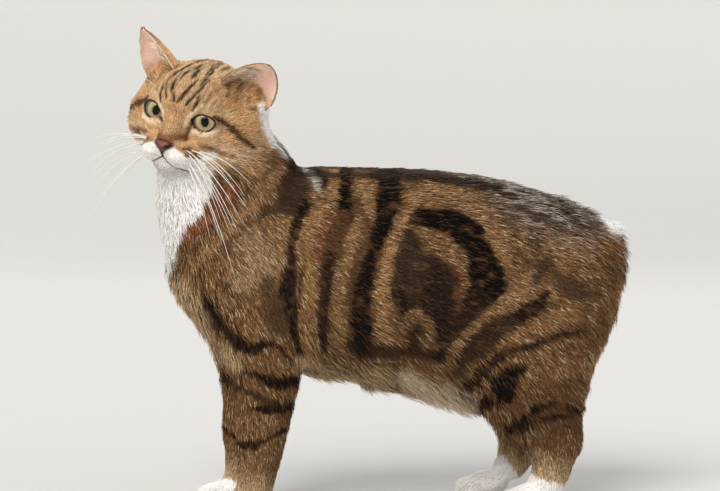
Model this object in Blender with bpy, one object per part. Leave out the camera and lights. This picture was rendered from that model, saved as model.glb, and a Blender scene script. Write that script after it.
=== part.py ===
"""A life-size standing Manx cat, brown classic tabby and white, as a still model.

Metres, +Z up. The cat stands with its nose towards -X and its left side towards -Y, the head
turned towards -Y. The origin is the middle of the model's box, on the floor.
The flesh is blocked out from closed tubes and ellipsoids, fused into one surface by a voxel
remesh, eased with a smooth, and then parted by thin cuts into the named parts of the body.
Sizes inside the tables are millimetres in the cat's own frame: x from below the middle of the
back, y from the middle plane of the body, z from the floor.
"""

import math

import bmesh
import bpy
import numpy as np
from mathutils import Euler, Matrix, Vector

MM = 0.001
GAP = 0.3

# Where the cat's own frame stands in the model's frame, so that the box is centred.
CAT_ORIGIN = (24.0, 13.8, 0.0)

# Driving sizes of the whole cat.
LEG_SPREAD_FORE = 37.0
LEG_SPREAD_HIND = 40.0
HIND_STEP = 15.0
FAR_KNEE_BACK = 8.0
KNEE_Z = 75.0
KNEE_REACH = 30.0
FORE_STEP = -5.0
STEP_FROM_Z = 90.0
PAW_CUT_Z = 25.0
LEG_LEAN_IN = 0.34
LEG_LEAN_FROM = 110.0

# How fine the fused surface is, and how far it is eased.
CORE_VOXEL = 2.6
BODY_VOXEL = 1.7
CORE_EASE = 26
BODY_EASE = 9
WHOLE_TRIANGLES = 6780

# The torso from chest to rump: x, top, bottom and half width of each section.
TORSO_SECTIONS = (
    (-169, 215, 177, 20),
    (-158, 236, 161, 36),
    (-144, 254, 142, 48),
    (-114, 268, 122, 56),
    (-85, 273, 113, 60),
    (-55, 274, 106, 63),
    (-20, 273, 98, 65),
    (15, 272, 90, 67),
    (50, 270, 81, 66),
    (75, 267, 74, 61),
    (100, 262, 82, 57),
    (128, 255, 98, 55),
    (152, 247, 114, 51),
    (176, 236, 132, 43),
    (192, 222, 158, 31),
    (201, 206, 180, 16),
)
TORSO_NARROWS_UP = 0.13

# The neck from the shoulders to the skull: x, y, z, half depth and half width.
NECK_SECTIONS = (
    (-98, 0, 178, 60, 48),
    (-110, 0, 205, 63, 51),
    (-120.5, -1, 236, 60.5, 50),
    (-128, -4, 266, 58, 47),
    (-137, -9, 292, 47, 43),
    (-143, -11, 312, 34, 36),
)

# A foreleg from shoulder to ankle: z, x, half length and half width.
FORELEG_SECTIONS = (
    (222, -92, 28, 14),
    (205, -98, 38, 21),
    (180, -104, 43, 25),
    (150, -102, 39, 25),
    (125, -100, 32, 23),
    (108, -98.5, 27.5, 21),
    (86, -99.5, 22.8, 18.5),
    (63, -103, 21.5, 17),
    (41, -105, 17.5, 15.5),
    (24, -108, 15.5, 15),
    (13, -111, 14, 14),
)

# A hind leg from hip to ankle: z, x, half length and half width.
HINDLEG_SECTIONS = (
    (214, 131, 34, 15),
    (203, 132, 48, 23),
    (185, 132, 58, 28),
    (155, 127, 61, 31),
    (130, 121, 55, 30),
    (108, 117, 48, 27.5),
    (86, 115, 45, 23.5),
    (72, 117, 40, 20),
    (60, 128, 31, 17),
    (50, 133, 26, 15.5),
    (35, 133, 18.5, 14.5),
    (24, 130, 16.5, 14.5),
    (13, 125, 15, 14),
)

# A paw: half sizes of its body and toes, and how far the toes reach ahead of the ankle.
PAW_BODY = (19.0, 15.5, 11.0)
PAW_AHEAD = 10.0
TOE = (9.0, 5.6, 8.6)
TOE_SPREAD = 8.2
TOE_AHEAD = (14.0, 18.5)
SOLE_SINK = 1.5

# The head's own frame: forward, left and up from the middle of the skull, turned from -Y
# towards -X, then nodded down and tilted towards the cat's left.
HEAD_CENTRE = (-148.0, -12.0, 316.0)
HEAD_TURN = 39.0
HEAD_NOD = 9.0
HEAD_TILT = 14.0

# The head's forms: forward, left, up and the three half sizes. A form off the middle is doubled.
SKULL_FORMS = (
    ((-8, 0, 4), (43, 39, 38)),
    ((12, 0, 11), (30, 34, 27)),
    ((0, 35, -12), (29, 24, 29)),
    ((-10, 35, 8), (25, 20, 26)),
    ((8, 0, -26), (31, 32, 19)),
)
FACE_FORMS = (
    ((21, 24, -11), (17, 16, 13)),
    ((28, 0, -24), (21, 21.5, 14)),
    ((38.5, 10.5, -25), (14, 13, 11.5)),
    ((23, 19, 15), (12, 13, 7)),
)
NOSE_BRIDGE = ((14, 0, 12, 16), (30, 0, 3, 10.5), (45, 0, -12.5, 8.5))

# The eyes: place of the ball, its size, how far it looks outwards, and its opening.
EYE_CENTRE = (24.5, 21.3, 2.7)
EYE_RADIUS = 11.5
EYE_OUT = 9.0
LID_THICK = 1.9
EYE_OPENING = (10.6, 7.6)
EYE_SLANT = 12.0

# The ears: base corners, tip, wall and how far the base sinks into the head.
EAR_INNER_BASE = (10.0, 21.0, 31.0)
EAR_OUTER_BASE = (-8.0, 55.0, 16.0)
EAR_TIP_LEFT = (3.0, 57.0, 52.0)
EAR_TIP_RIGHT = (6.0, 56.0, 56.0)
EAR_WALL = 2.2
EAR_CUP = 12.5
EAR_ROOT = 9.0
EAR_GAP = 0.5
EAR_ARC = 1.35
EAR_TAPER_LEFT = (1.9, 0.62)
EAR_TAPER_RIGHT = (1.45, 0.75)
EAR_ROWS = 10
EAR_COLUMNS = 11

# The nose pad, its nostrils, and the chin that closes the mouth.
NOSE_CENTRE = (48.5, 0.0, -17.6)
NOSE_HALF = (5.8, 7.4, 5.2)
NOSTRIL = ((54.0, 3.8, -17.8), (3.4, 1.8, 1.2))
CHIN_CENTRE = (33.5, 0.0, -34.4)
CHIN_HALF = (13.0, 17.5, 9.4)

# The whiskers, rooted in the middle of each pad.
WHISKER_PAD = ((38.0, 18.0, -24.0), 9.5)
WHISKER_ROWS = 2
WHISKERS_A_ROW = 4
WHISKER_LENGTH = 62.0
WHISKER_THICK = 0.6
WHISKER_DROOP = 0.24

# The short stub where a tail would start.
TAIL_STUB = ((190.0, 0.0, 216.0), (14.0, 12.0, 11.0))

# Where the body is parted. A plane is a point and a normal; an arch is the leg's middle, the
# belly's height, half the arch's width and its rise above the spring line.
HEAD_PLANE = ((-128.0, -8.0, 282.0), (-0.304, -0.152, 0.94))
NECK_PLANE = ((-116.0, 0.0, 232.0), (-0.5, 0.0, 0.86))
FORELEG_ARCH = (-103.0, 106.0, 42.0, 64.0)
HINDLEG_ARCH = (128.0, 70.0, 64.0, 70.0)
ARCH_SPRING_Z = 150.0
ARCH_FOOT_DROP = 10.0
LEG_CUT_Y = 21.0
LEG_INNER_Y = 1.5
LEG_FOOT_REACH = 45.0
STUB_SEAT_GROW = 1.5

# Cutting blocks reach this far, past every form.
FAR = 400.0
BELOW_FLOOR = -80.0


def to_world(points):
    """Cat's frame in millimetres to the model's frame in metres."""
    return (np.asarray(points, float) + np.array(CAT_ORIGIN)) * MM


def head_matrix():
    """The head's own frame (forward, left, up, in millimetres) as a matrix into the cat's frame."""
    turn = Matrix.Rotation(math.radians(-HEAD_TURN), 4, "Z")
    nod = Matrix.Rotation(math.radians(HEAD_NOD), 4, "Y")
    tilt = Matrix.Rotation(math.radians(-HEAD_TILT), 4, "X")
    forward_is_minus_y = Matrix.Rotation(math.radians(-90), 4, "Z")
    return Matrix.Translation(HEAD_CENTRE) @ turn @ forward_is_minus_y @ nod @ tilt


def clear_scene():
    for thing in list(bpy.data.objects):
        bpy.data.objects.remove(thing, do_unlink=True)


def material(name, colour, roughness):
    made = bpy.data.materials.new(name)
    made.use_nodes = True
    shader = made.node_tree.nodes["Principled BSDF"]
    shader.inputs["Base Color"].default_value = (*colour, 1.0)
    shader.inputs["Roughness"].default_value = roughness
    shader.inputs["Metallic"].default_value = 0.0
    return made


def new_object(name, verts, faces):
    """A mesh object from points in the cat's frame, with its faces pointing out."""
    mesh = bpy.data.meshes.new(name)
    mesh.from_pydata([tuple(p) for p in to_world(verts)], [], faces)
    shell = bmesh.new()
    shell.from_mesh(mesh)
    bmesh.ops.recalc_face_normals(shell, faces=shell.faces)
    shell.to_mesh(mesh)
    shell.free()
    made = bpy.data.objects.new(name, mesh)
    bpy.context.scene.collection.objects.link(made)
    return made


def lofted(name, rings, laced=False):
    """A closed skin through rings of equal count. Each end is a fan, or laced across a folded ring."""
    count = len(rings[0])
    verts = [p for ring in rings for p in ring]
    faces = []
    for step in range(len(rings) - 1):
        low, high = step * count, (step + 1) * count
        for i in range(count):
            j = (i + 1) % count
            faces.append((low + i, low + j, high + j, high + i))
    for ring, start in ((rings[0], 0), (rings[-1], (len(rings) - 1) * count)):
        if laced:
            last = start + count - 1
            faces += [
                (start + i, start + i + 1, last - i - 1, last - i) for i in range(count // 2 - 1)
            ]
            continue
        verts.append(np.mean(ring, axis=0))
        hub = len(verts) - 1
        faces += [(start + i, start + (i + 1) % count, hub) for i in range(count)]
    return new_object(name, verts, faces)


def ellipsoid(name, centre, half, frame=None, turn=(0, 0, 0), segments=24, rings=14):
    """An ellipsoid in the cat's frame, or in the frame given by a matrix."""
    ball = bmesh.new()
    bmesh.ops.create_uvsphere(ball, u_segments=segments, v_segments=rings, radius=1.0)
    place = Matrix.Translation(centre) @ Euler([math.radians(t) for t in turn]).to_matrix().to_4x4()
    place = (frame or Matrix()) @ place @ Matrix.Diagonal((*half, 1.0))
    verts = [place @ v.co for v in ball.verts]
    faces = [[v.index for v in f.verts] for f in ball.faces]
    ball.free()
    return new_object(name, verts, faces)


def mirrored(point):
    return (point[0], -point[1], point[2])


def torso_tube():
    """Upright egg-shaped sections, narrower towards the spine."""
    rings = []
    angles = np.linspace(0, 2 * math.pi, 40, endpoint=False)
    for x, top, bottom, half_width in TORSO_SECTIONS:
        middle, half = (top + bottom) / 2, (top - bottom) / 2
        width = half_width * (1 - TORSO_NARROWS_UP * np.sin(angles))
        rings.append(
            np.stack([np.full(40, x), width * np.cos(angles), middle + half * np.sin(angles)], 1)
        )
    return lofted("torso_form", rings)


def neck_tube():
    """Rings square to the neck's line."""
    line = np.array([s[:3] for s in NECK_SECTIONS], float)
    tangents = np.gradient(line, axis=0)
    angles = np.linspace(0, 2 * math.pi, 36, endpoint=False)
    rings = []
    for centre, tangent, section in zip(line, tangents, NECK_SECTIONS):
        along = Vector(tangent).normalized()
        across = Vector((0, 1, 0))
        ahead = across.cross(along).normalized()
        side = along.cross(ahead).normalized()
        rings.append(
            [
                Vector(centre) + ahead * section[3] * math.cos(t) + side * section[4] * math.sin(t)
                for t in angles
            ]
        )
    return lofted("neck_form", rings)


def step_ahead(z, step):
    """How far a leg is ahead at height z: by step at the floor, with the knee of a stepping leg held back."""
    knee = FAR_KNEE_BACK * math.exp(-(((z - KNEE_Z) / KNEE_REACH) ** 2)) if step > 0 else 0.0
    return step * max(0.0, 1 - z / STEP_FROM_Z) ** 1.5 - knee


def leg_tube(name, sections, y, step):
    """Level elliptic rings down the leg, which leans in towards the spine above the elbow or knee."""
    angles = np.linspace(0, 2 * math.pi, 28, endpoint=False)
    rings = []
    for z, x, half_length, half_width in sections:
        ahead = x - step_ahead(z, step)
        beside = y * (1 - LEG_LEAN_IN * max(0.0, z - LEG_LEAN_FROM) / LEG_LEAN_FROM)
        rings.append(
            np.stack(
                [
                    ahead + half_length * np.cos(angles),
                    beside + half_width * np.sin(angles),
                    np.full(28, z),
                ],
                1,
            )
        )
    return lofted(name, rings)


def paw_forms(name, x, y):
    """A low body with four toes ahead of it, the middle pair further out."""
    body_z = PAW_BODY[2] - SOLE_SINK
    forms = [ellipsoid(name + "_body", (x - PAW_AHEAD, y, body_z), PAW_BODY)]
    for number in range(4):
        place = number - 1.5
        ahead = TOE_AHEAD[1] if abs(place) < 1 else TOE_AHEAD[0]
        centre = (x - PAW_AHEAD - ahead, y + place * TOE_SPREAD, TOE[2] - SOLE_SINK)
        forms.append(ellipsoid(f"{name}_toe_{number}", centre, TOE, turn=(0, 0, -9 * place)))
    return forms


def head_forms(kind, forms):
    """Ellipsoids in the head's own frame, each doubled where it lies off the middle."""
    frame = head_matrix()
    made = []
    for number, (centre, half) in enumerate(forms):
        sides = (centre, mirrored(centre)) if centre[1] else (centre,)
        for side, place in enumerate(sides):
            made.append(ellipsoid(f"{kind}_{number}_{side}", place, half, frame))
    return made


def nose_bridge():
    """Balls along the line from the brow to the nose."""
    frame = head_matrix()
    made = []
    for number in range(len(NOSE_BRIDGE) - 1):
        start, end = NOSE_BRIDGE[number], NOSE_BRIDGE[number + 1]
        for share in np.linspace(0, 1, 5):
            x, y, z, r = (a + (b - a) * share for a, b in zip(start, end))
            name = f"bridge_{number}_{share:.2f}"
            made.append(ellipsoid(name, (x, y, z), (r, r, r), frame, segments=20))
    return made


def joined(name, parts):
    """One mesh object from several, still overlapping."""
    shell = bmesh.new()
    for part in parts:
        shell.from_mesh(part.data)
    mesh = bpy.data.meshes.new(name)
    shell.to_mesh(mesh)
    shell.free()
    for part in parts:
        bpy.data.objects.remove(part, do_unlink=True)
    made = bpy.data.objects.new(name, mesh)
    bpy.context.scene.collection.objects.link(made)
    return made


def apply_modifiers(thing):
    graph = bpy.context.evaluated_depsgraph_get()
    graph.update()
    mesh = bpy.data.meshes.new_from_object(thing.evaluated_get(graph))
    thing.modifiers.clear()
    thing.data = mesh
    return thing


def fused(name, parts, voxel, ease):
    """Overlapping forms made one surface, with their junctions eased into each other."""
    made = joined(name, parts)
    remesh = made.modifiers.new("remesh", "REMESH")
    remesh.mode = "VOXEL"
    remesh.voxel_size = voxel * MM
    smooth = made.modifiers.new("ease", "SMOOTH")
    smooth.factor = 0.5
    smooth.iterations = ease
    return apply_modifiers(made)


def boolean(thing, others, operation):
    """A Boolean with one or several closed mesh objects, applied, with those objects removed."""
    for other in others:
        cut = thing.modifiers.new("cut", "BOOLEAN")
        cut.operation = operation
        cut.solver = "EXACT"
        cut.object = other
        apply_modifiers(thing)
    for other in others:
        bpy.data.objects.remove(other, do_unlink=True)
    return thing


def copy_of(thing, name):
    made = bpy.data.objects.new(name, thing.data.copy())
    bpy.context.scene.collection.objects.link(made)
    return made


def swollen(thing, name, by=GAP):
    """A copy with every face moved out by so many millimetres, to cut the seat of a part."""
    made = copy_of(thing, name)
    shell = bmesh.new()
    shell.from_mesh(made.data)
    shell.normal_update()
    moved = [v.co + v.normal * by * MM * v.calc_shell_factor() for v in shell.verts]
    for vert, place in zip(shell.verts, moved):
        vert.co = place
    shell.to_mesh(made.data)
    shell.free()
    return made


def keep_largest(thing):
    """Drops every closed surface but the largest, and so any scrap that a cut left."""
    shell = bmesh.new()
    shell.from_mesh(thing.data)
    shell.verts.ensure_lookup_table()
    seen, islands = set(), []
    for seed in shell.verts:
        if seed.index in seen:
            continue
        island, queue = [], [seed]
        seen.add(seed.index)
        while queue:
            vert = queue.pop()
            island.append(vert)
            for edge in vert.link_edges:
                other = edge.other_vert(vert)
                if other.index not in seen:
                    seen.add(other.index)
                    queue.append(other)
        islands.append(island)
    islands.sort(key=lambda island: max((v.co - island[0].co).length for v in island))
    for island in islands[:-1]:
        bmesh.ops.delete(shell, geom=island, context="VERTS")
    shell.to_mesh(thing.data)
    shell.free()
    return thing


def box(name, low, high):
    corners = [(x, y, z) for x in (low[0], high[0]) for y in (low[1], high[1]) for z in (low[2], high[2])]
    faces = [(0, 1, 3, 2), (4, 6, 7, 5), (0, 4, 5, 1), (2, 3, 7, 6), (0, 2, 6, 4), (1, 5, 7, 3)]
    return new_object(name, corners, faces)


def half_space(name, point, normal, offset):
    """A big block whose one face lies on a plane moved along its normal, reaching the normal's way."""
    turned = Vector(normal).normalized().to_track_quat("Z", "Y").to_matrix().to_4x4()
    place = Matrix.Translation(Vector(point) + Vector(normal).normalized() * offset) @ turned
    corners = [(x, y, z) for x in (-FAR, FAR) for y in (-FAR, FAR) for z in (0, FAR)]
    faces = [(0, 1, 3, 2), (4, 6, 7, 5), (0, 4, 5, 1), (2, 3, 7, 6), (0, 2, 6, 4), (1, 5, 7, 3)]
    return new_object(name, [place @ Vector(c) for c in corners], faces)


def leg_cutter(name, form, side, grow):
    """What parts a leg from the torso: an arched prism at its outer side, and below the belly a block
    that reaches in to the middle of the body."""
    x, belly_z, half, rise = form
    reach = half + grow
    outline = [(x + reach, belly_z - ARCH_FOOT_DROP)]
    for angle in np.linspace(0, math.pi, 16):
        high = ARCH_SPRING_Z + (rise + grow) * math.sin(angle)
        outline.append((x + reach * math.cos(angle), high))
    outline.append((x - reach, belly_z - ARCH_FOOT_DROP))
    walls = (side * (LEG_CUT_Y - grow), side * FAR / 3)
    made = lofted(name, [[(px, y, pz) for px, pz in outline] for y in walls], laced=True)
    wide = reach + LEG_FOOT_REACH
    inner, outer = sorted((side * (LEG_INNER_Y - grow), side * FAR / 2))
    low = box("leg_low", (x - wide, inner, BELOW_FLOOR), (x + wide, outer, belly_z + grow))
    return boolean(made, [low], "UNION")


def whole_body():
    """Every form of flesh as one surface, thinned to its share of the triangles."""
    core = [torso_tube(), neck_tube(), *head_forms("skull", SKULL_FORMS)]
    for side in (-1, 1):
        core.append(
            leg_tube("shoulder", FORELEG_SECTIONS[:6], side * LEG_SPREAD_FORE, 0)
        )
        core.append(leg_tube("haunch", HINDLEG_SECTIONS[:8], side * LEG_SPREAD_HIND, 0))
    core.append(ellipsoid("tail_form", *TAIL_STUB))
    parts = [fused("core", core, CORE_VOXEL, CORE_EASE)]
    parts += head_forms("face", FACE_FORMS) + nose_bridge()
    for side, fore_step, hind_step in ((-1, 0.0, 0.0), (1, FORE_STEP, HIND_STEP)):
        fore_y, hind_y = side * LEG_SPREAD_FORE, side * LEG_SPREAD_HIND
        parts.append(leg_tube("foreleg_form", FORELEG_SECTIONS[3:], fore_y, fore_step))
        parts.append(leg_tube("hindleg_form", HINDLEG_SECTIONS[5:], hind_y, hind_step))
        fore_x = FORELEG_SECTIONS[-1][1] - step_ahead(0, fore_step)
        hind_x = HINDLEG_SECTIONS[-1][1] - step_ahead(0, hind_step)
        parts += paw_forms("fore_paw_form", fore_x, fore_y)
        parts += paw_forms("hind_paw_form", hind_x, hind_y)
    body = fused("body", parts, BODY_VOXEL, BODY_EASE)
    floor = box("floor_cut", (-FAR, -FAR, BELOW_FLOOR), (FAR, FAR, 0))
    thin_out(body)
    return boolean(body, [floor], "DIFFERENCE")


def thin_out(body):
    """Fewer triangles: a collapse that keeps most of them where the form turns sharply."""
    body.data.calc_loop_triangles()
    thin = body.modifiers.new("thin", "DECIMATE")
    thin.ratio = WHOLE_TRIANGLES / len(body.data.loop_triangles)
    thin.use_collapse_triangulate = True
    apply_modifiers(body)


def eye_frame(side):
    """The eye's own frame: x out along its look, y to the left and z up."""
    centre = (EYE_CENTRE[0], side * EYE_CENTRE[1], EYE_CENTRE[2])
    look = Matrix.Rotation(math.radians(side * EYE_OUT), 4, "Z")
    slant = Matrix.Rotation(math.radians(side * EYE_SLANT), 4, "X")
    return head_matrix() @ Matrix.Translation(centre) @ look @ slant


def almond(name, frame, grow):
    """A prism of the eye's opening, pointed at the inner and outer corners."""
    half_width, half_height = EYE_OPENING
    outline = []
    for angle in np.linspace(0, 2 * math.pi, 20, endpoint=False):
        height = half_height * math.sin(angle) * (1 - 0.22 * math.cos(angle) ** 2)
        outline.append((half_width * math.cos(angle) * (1 + grow), height * (1 + grow)))
    rings = [
        [frame @ Vector((depth, y * spread, z * spread)) for y, z in outline]
        for depth, spread in ((4.0, 0.8), (EYE_RADIUS + 8.0, 1.25))
    ]
    return lofted(name, rings)


def with_eyes(head):
    """The lids stand proud round each ball, with an almond opening between them."""
    for side in (-1, 1):
        frame = eye_frame(side)
        lid = EYE_RADIUS + LID_THICK
        bulge = ellipsoid("lid", (0, 0, 0), (lid, lid, lid), frame, segments=18, rings=11)
        boolean(head, [bulge], "UNION")
        socket_half = (EYE_RADIUS + GAP,) * 3
        socket = ellipsoid("socket", (0, 0, 0), socket_half, frame, segments=18, rings=11)
        boolean(head, [socket, almond("opening", frame, 0.0)], "DIFFERENCE")
    return head


def ear_solid(name, side, grow=0.0):
    """A cupped shell: rows of arcs from the sunk base to the tip, each with a real wall."""
    frame = head_matrix()
    inner = Vector((EAR_INNER_BASE[0], side * EAR_INNER_BASE[1], EAR_INNER_BASE[2]))
    outer = Vector((EAR_OUTER_BASE[0], side * EAR_OUTER_BASE[1], EAR_OUTER_BASE[2]))
    reach = EAR_TIP_LEFT if side > 0 else EAR_TIP_RIGHT
    bend, power = EAR_TAPER_LEFT if side > 0 else EAR_TAPER_RIGHT
    tip = Vector((reach[0], side * reach[1], reach[2]))
    middle = (inner + outer) / 2
    upward = (tip - middle).normalized()
    across = (outer - inner).normalized()
    back = upward.cross(across).normalized() * side
    height = (tip - middle).length
    half_base = (outer - inner).length / 2
    rings = []
    for share in np.linspace(0, 1, EAR_ROWS):
        rise = (height + EAR_ROOT + 2 * grow) * share - EAR_ROOT - grow
        taper = max(0.16, (1 - min(1.0, max(0.0, rise / height)) ** bend) ** power)
        wide = half_base * taper / math.sin(EAR_ARC)
        deep = EAR_CUP * taper / (1 - math.cos(EAR_ARC))
        thin = EAR_WALL / 2 * (1 - 0.5 * share) + grow
        centre = middle + (tip - middle) * (rise / height) - back * deep * math.cos(EAR_ARC)
        front, rear = [], []
        for angle in np.linspace(-EAR_ARC, EAR_ARC, EAR_COLUMNS):
            place = across * wide * math.sin(angle) + back * deep * math.cos(angle)
            normal = (across * deep * math.sin(angle) + back * wide * math.cos(angle)).normalized()
            if abs(angle) > EAR_ARC - 0.001:
                along = across * wide * math.cos(angle) - back * deep * math.sin(angle)
                place += along.normalized() * math.copysign(grow, angle)
            front.append(frame @ (centre + place - normal * thin))
            rear.append(frame @ (centre + place + normal * thin))
        rings.append(front + rear[::-1])
    return lofted(name, rings, laced=True)


def nose_solid(name):
    """A soft triangle: broad above, narrow where it meets the lip."""
    frame = head_matrix()
    ball = bmesh.new()
    bmesh.ops.create_uvsphere(ball, u_segments=16, v_segments=9, radius=1.0)
    verts = []
    for v in ball.verts:
        taper = 1.0 + 0.42 * v.co.z
        verts.append(
            frame
            @ Vector(
                (
                    NOSE_CENTRE[0] + NOSE_HALF[0] * v.co.x,
                    NOSE_CENTRE[1] + NOSE_HALF[1] * taper * v.co.y,
                    NOSE_CENTRE[2] + NOSE_HALF[2] * v.co.z,
                )
            )
        )
    faces = [[v.index for v in f.verts] for f in ball.faces]
    ball.free()
    return new_object(name, verts, faces)


def whisker(name, frame, root, heading, length):
    """A three-sided strand that droops in an arc and tapers to its tip."""
    rings = []
    heading = Vector(heading).normalized()
    side = heading.cross(Vector((0, 0, 1))).normalized()
    over = side.cross(heading)
    for share in (0.0, 0.25, 0.5, 0.75, 1.0):
        droop = Vector((0, 0, -1)) * length * WHISKER_DROOP * share**2
        centre = Vector(root) + heading * length * share + droop
        thick = WHISKER_THICK / 2 * (1.15 - 0.85 * share) if share else WHISKER_THICK / 2
        rings.append(
            [
                frame @ (centre + side * thick * math.cos(t) + over * thick * math.sin(t))
                for t in (0.5, 0.5 + 2.094, 0.5 + 4.189)
            ]
        )
    return lofted(name, rings)


def whisker_pad(head, side):
    """The middle of one lip pad as its own part, with its whiskers fused in. Cuts its seat in the head."""
    frame = head_matrix()
    word = "left" if side > 0 else "right"
    centre = (WHISKER_PAD[0][0], side * WHISKER_PAD[0][1], WHISKER_PAD[0][2])
    radius = WHISKER_PAD[1]
    pad = copy_of(head, f"whisker_pad_{word}")
    ball = ellipsoid("pad_ball", centre, (radius,) * 3, frame, segments=14, rings=9)
    boolean(head, [swollen(ball, "pad_seat")], "DIFFERENCE")
    boolean(pad, [ball], "INTERSECT")
    keep_largest(pad)
    rng = np.random.default_rng(7 + side)
    strands = []
    for row in range(WHISKER_ROWS):
        for place in range(WHISKERS_A_ROW):
            back = place / (WHISKERS_A_ROW - 1)
            root = (centre[0] + 3.5 - 6.0 * back, centre[1], centre[2] + 2.5 - 4.0 * row)
            spread = rng.uniform(-0.06, 0.06)
            heading = (0.58 - 0.36 * back, side * 1.0, -0.1 - 0.35 * row + spread)
            length = WHISKER_LENGTH * (0.72 + 0.28 * math.sin(math.pi * (0.25 + 0.6 * back)))
            strands.append(whisker(f"strand_{row}_{place}", frame, root, heading, length))
    boolean(pad, strands, "UNION")
    return keep_largest(pad)


def build():
    clear_scene()
    body = whole_body()
    point, normal = HEAD_PLANE
    head = copy_of(body, "head")
    boolean(head, [half_space("above_head", point, normal, GAP / 2)], "INTERSECT")
    boolean(body, [half_space("not_head", point, normal, -GAP / 2)], "DIFFERENCE")
    point, normal = NECK_PLANE
    neck = copy_of(body, "neck")
    boolean(neck, [half_space("above_neck", point, normal, GAP / 2)], "INTERSECT")
    boolean(body, [half_space("not_neck", point, normal, -GAP / 2)], "DIFFERENCE")
    nodes = [neck]
    for side, word in ((-1, "left"), (1, "right")):
        for kind, form in (("fore", FORELEG_ARCH), ("hind", HINDLEG_ARCH)):
            leg = copy_of(body, f"{kind}leg_{word}")
            boolean(leg, [leg_cutter("leg_cutter", form, side, 0.0)], "INTERSECT")
            boolean(body, [leg_cutter("leg_seat", form, side, GAP)], "DIFFERENCE")
            keep_largest(leg)
            paw = copy_of(leg, f"{kind}_paw_{word}")
            low = (-FAR, -FAR, BELOW_FLOOR)
            boolean(paw, [box("paw_box", low, (FAR, FAR, PAW_CUT_Z))], "INTERSECT")
            boolean(leg, [box("not_paw", low, (FAR, FAR, PAW_CUT_Z + GAP))], "DIFFERENCE")
            nodes += [keep_largest(leg), keep_largest(paw)]
    stub = copy_of(body, "tail_stub")
    centre, half = TAIL_STUB
    ball = ellipsoid("stub_ball", centre, [h + STUB_SEAT_GROW for h in half], segments=14, rings=9)
    boolean(body, [swollen(ball, "stub_seat")], "DIFFERENCE")
    boolean(stub, [ball], "INTERSECT")
    body.name = "torso"
    nodes += [keep_largest(body), keep_largest(stub)]

    frame = head_matrix()
    jaw = ellipsoid("jaw", CHIN_CENTRE, CHIN_HALF, frame, segments=18, rings=11)
    boolean(head, [swollen(jaw, "jaw_seat")], "DIFFERENCE")
    with_eyes(head)
    nose = nose_solid("nose")
    boolean(head, [swollen(nose, "nose_seat")], "DIFFERENCE")
    for side in (-1, 1):
        place, half = NOSTRIL
        spot = (place[0], side * place[1], place[2])
        boolean(nose, [ellipsoid("nostril", spot, half, frame, segments=12, rings=8)], "DIFFERENCE")
        word = "left" if side > 0 else "right"
        ear = ear_solid(f"ear_{word}", side)
        boolean(head, [ear_solid("ear_seat", side, EAR_GAP)], "DIFFERENCE")
        ball = ellipsoid(f"eye_{word}", (0, 0, 0), (EYE_RADIUS,) * 3, eye_frame(side), segments=18, rings=11)
        nodes += [ear, ball]
    keep_largest(head)
    for side in (-1, 1):
        nodes.append(whisker_pad(head, side))
    nodes += [keep_largest(head), jaw, nose]
    finish_nodes(nodes)


COLOURS = {
    "coat": ((0.30, 0.19, 0.10), 0.85),
    "white_coat": ((0.82, 0.80, 0.77), 0.85),
    "nose_leather": ((0.62, 0.30, 0.27), 0.45),
    "eye": ((0.45, 0.48, 0.20), 0.08),
    "ear_skin": ((0.62, 0.42, 0.36), 0.7),
}


def slot_of(name):
    if name.startswith("eye"):
        return "eye"
    if name.startswith("ear"):
        return "ear_skin"
    if name == "nose":
        return "nose_leather"
    if "paw" in name or "pad" in name or name == "jaw":
        return "white_coat"
    return "coat"


def finish_nodes(nodes):
    """Gives each node its material and smooth shading, and hangs it by its middle on one empty."""
    stand = bpy.data.objects.new("cat", None)
    bpy.context.scene.collection.objects.link(stand)
    made = {key: material(key, *value) for key, value in COLOURS.items()}
    for node in nodes:
        corners = np.array([v.co for v in node.data.vertices])
        middle = Vector((corners.min(axis=0) + corners.max(axis=0)) / 2)
        node.data.transform(Matrix.Translation(-middle))
        node.location = middle
        node.data.materials.clear()
        node.data.materials.append(made[slot_of(node.name)])
        node.data.name = node.name
        node.data.shade_smooth()
        node.parent = stand


build()
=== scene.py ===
"""A standing Manx cat dressed in its coat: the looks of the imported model.

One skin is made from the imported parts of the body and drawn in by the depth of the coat. Tufts of
solid fur are rooted in it and lie the way the hair grows. Skin and tufts take their colours from
the same markings. Eyes, lids, nose, mouth, ears and whiskers are surfaces of their own.

Lengths are millimetres in the cat's own frame (x to the tail, y to the cat's right, z up from the
floor) until a mesh is written, which is in metres in the model's frame. The head has a frame of
its own: forward, left and up from the middle of the skull.
"""
import logging
import math
from dataclasses import dataclass, field
from enum import Enum
from itertools import product

import bmesh
import bpy
import numpy as np
from bmesh.types import BMesh
from bpy.types import ID, Material, Mesh, Node, NodeSocket, Object
from mathutils import Matrix, Vector


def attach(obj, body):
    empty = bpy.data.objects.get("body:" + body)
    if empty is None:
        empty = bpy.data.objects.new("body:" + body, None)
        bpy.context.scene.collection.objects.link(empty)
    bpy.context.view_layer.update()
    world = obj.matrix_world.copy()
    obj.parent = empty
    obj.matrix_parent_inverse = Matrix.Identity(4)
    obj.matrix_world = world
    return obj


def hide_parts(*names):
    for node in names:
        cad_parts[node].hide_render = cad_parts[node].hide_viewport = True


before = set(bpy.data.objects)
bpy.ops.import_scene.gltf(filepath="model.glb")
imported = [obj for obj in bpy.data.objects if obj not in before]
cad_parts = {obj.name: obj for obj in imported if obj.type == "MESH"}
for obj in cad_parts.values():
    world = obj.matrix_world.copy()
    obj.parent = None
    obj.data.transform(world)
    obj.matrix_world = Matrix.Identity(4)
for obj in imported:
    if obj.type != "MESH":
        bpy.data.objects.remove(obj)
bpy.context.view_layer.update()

Array = np.ndarray
Rgb = tuple[float, float, float]
log = logging.getLogger("cat")

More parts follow.
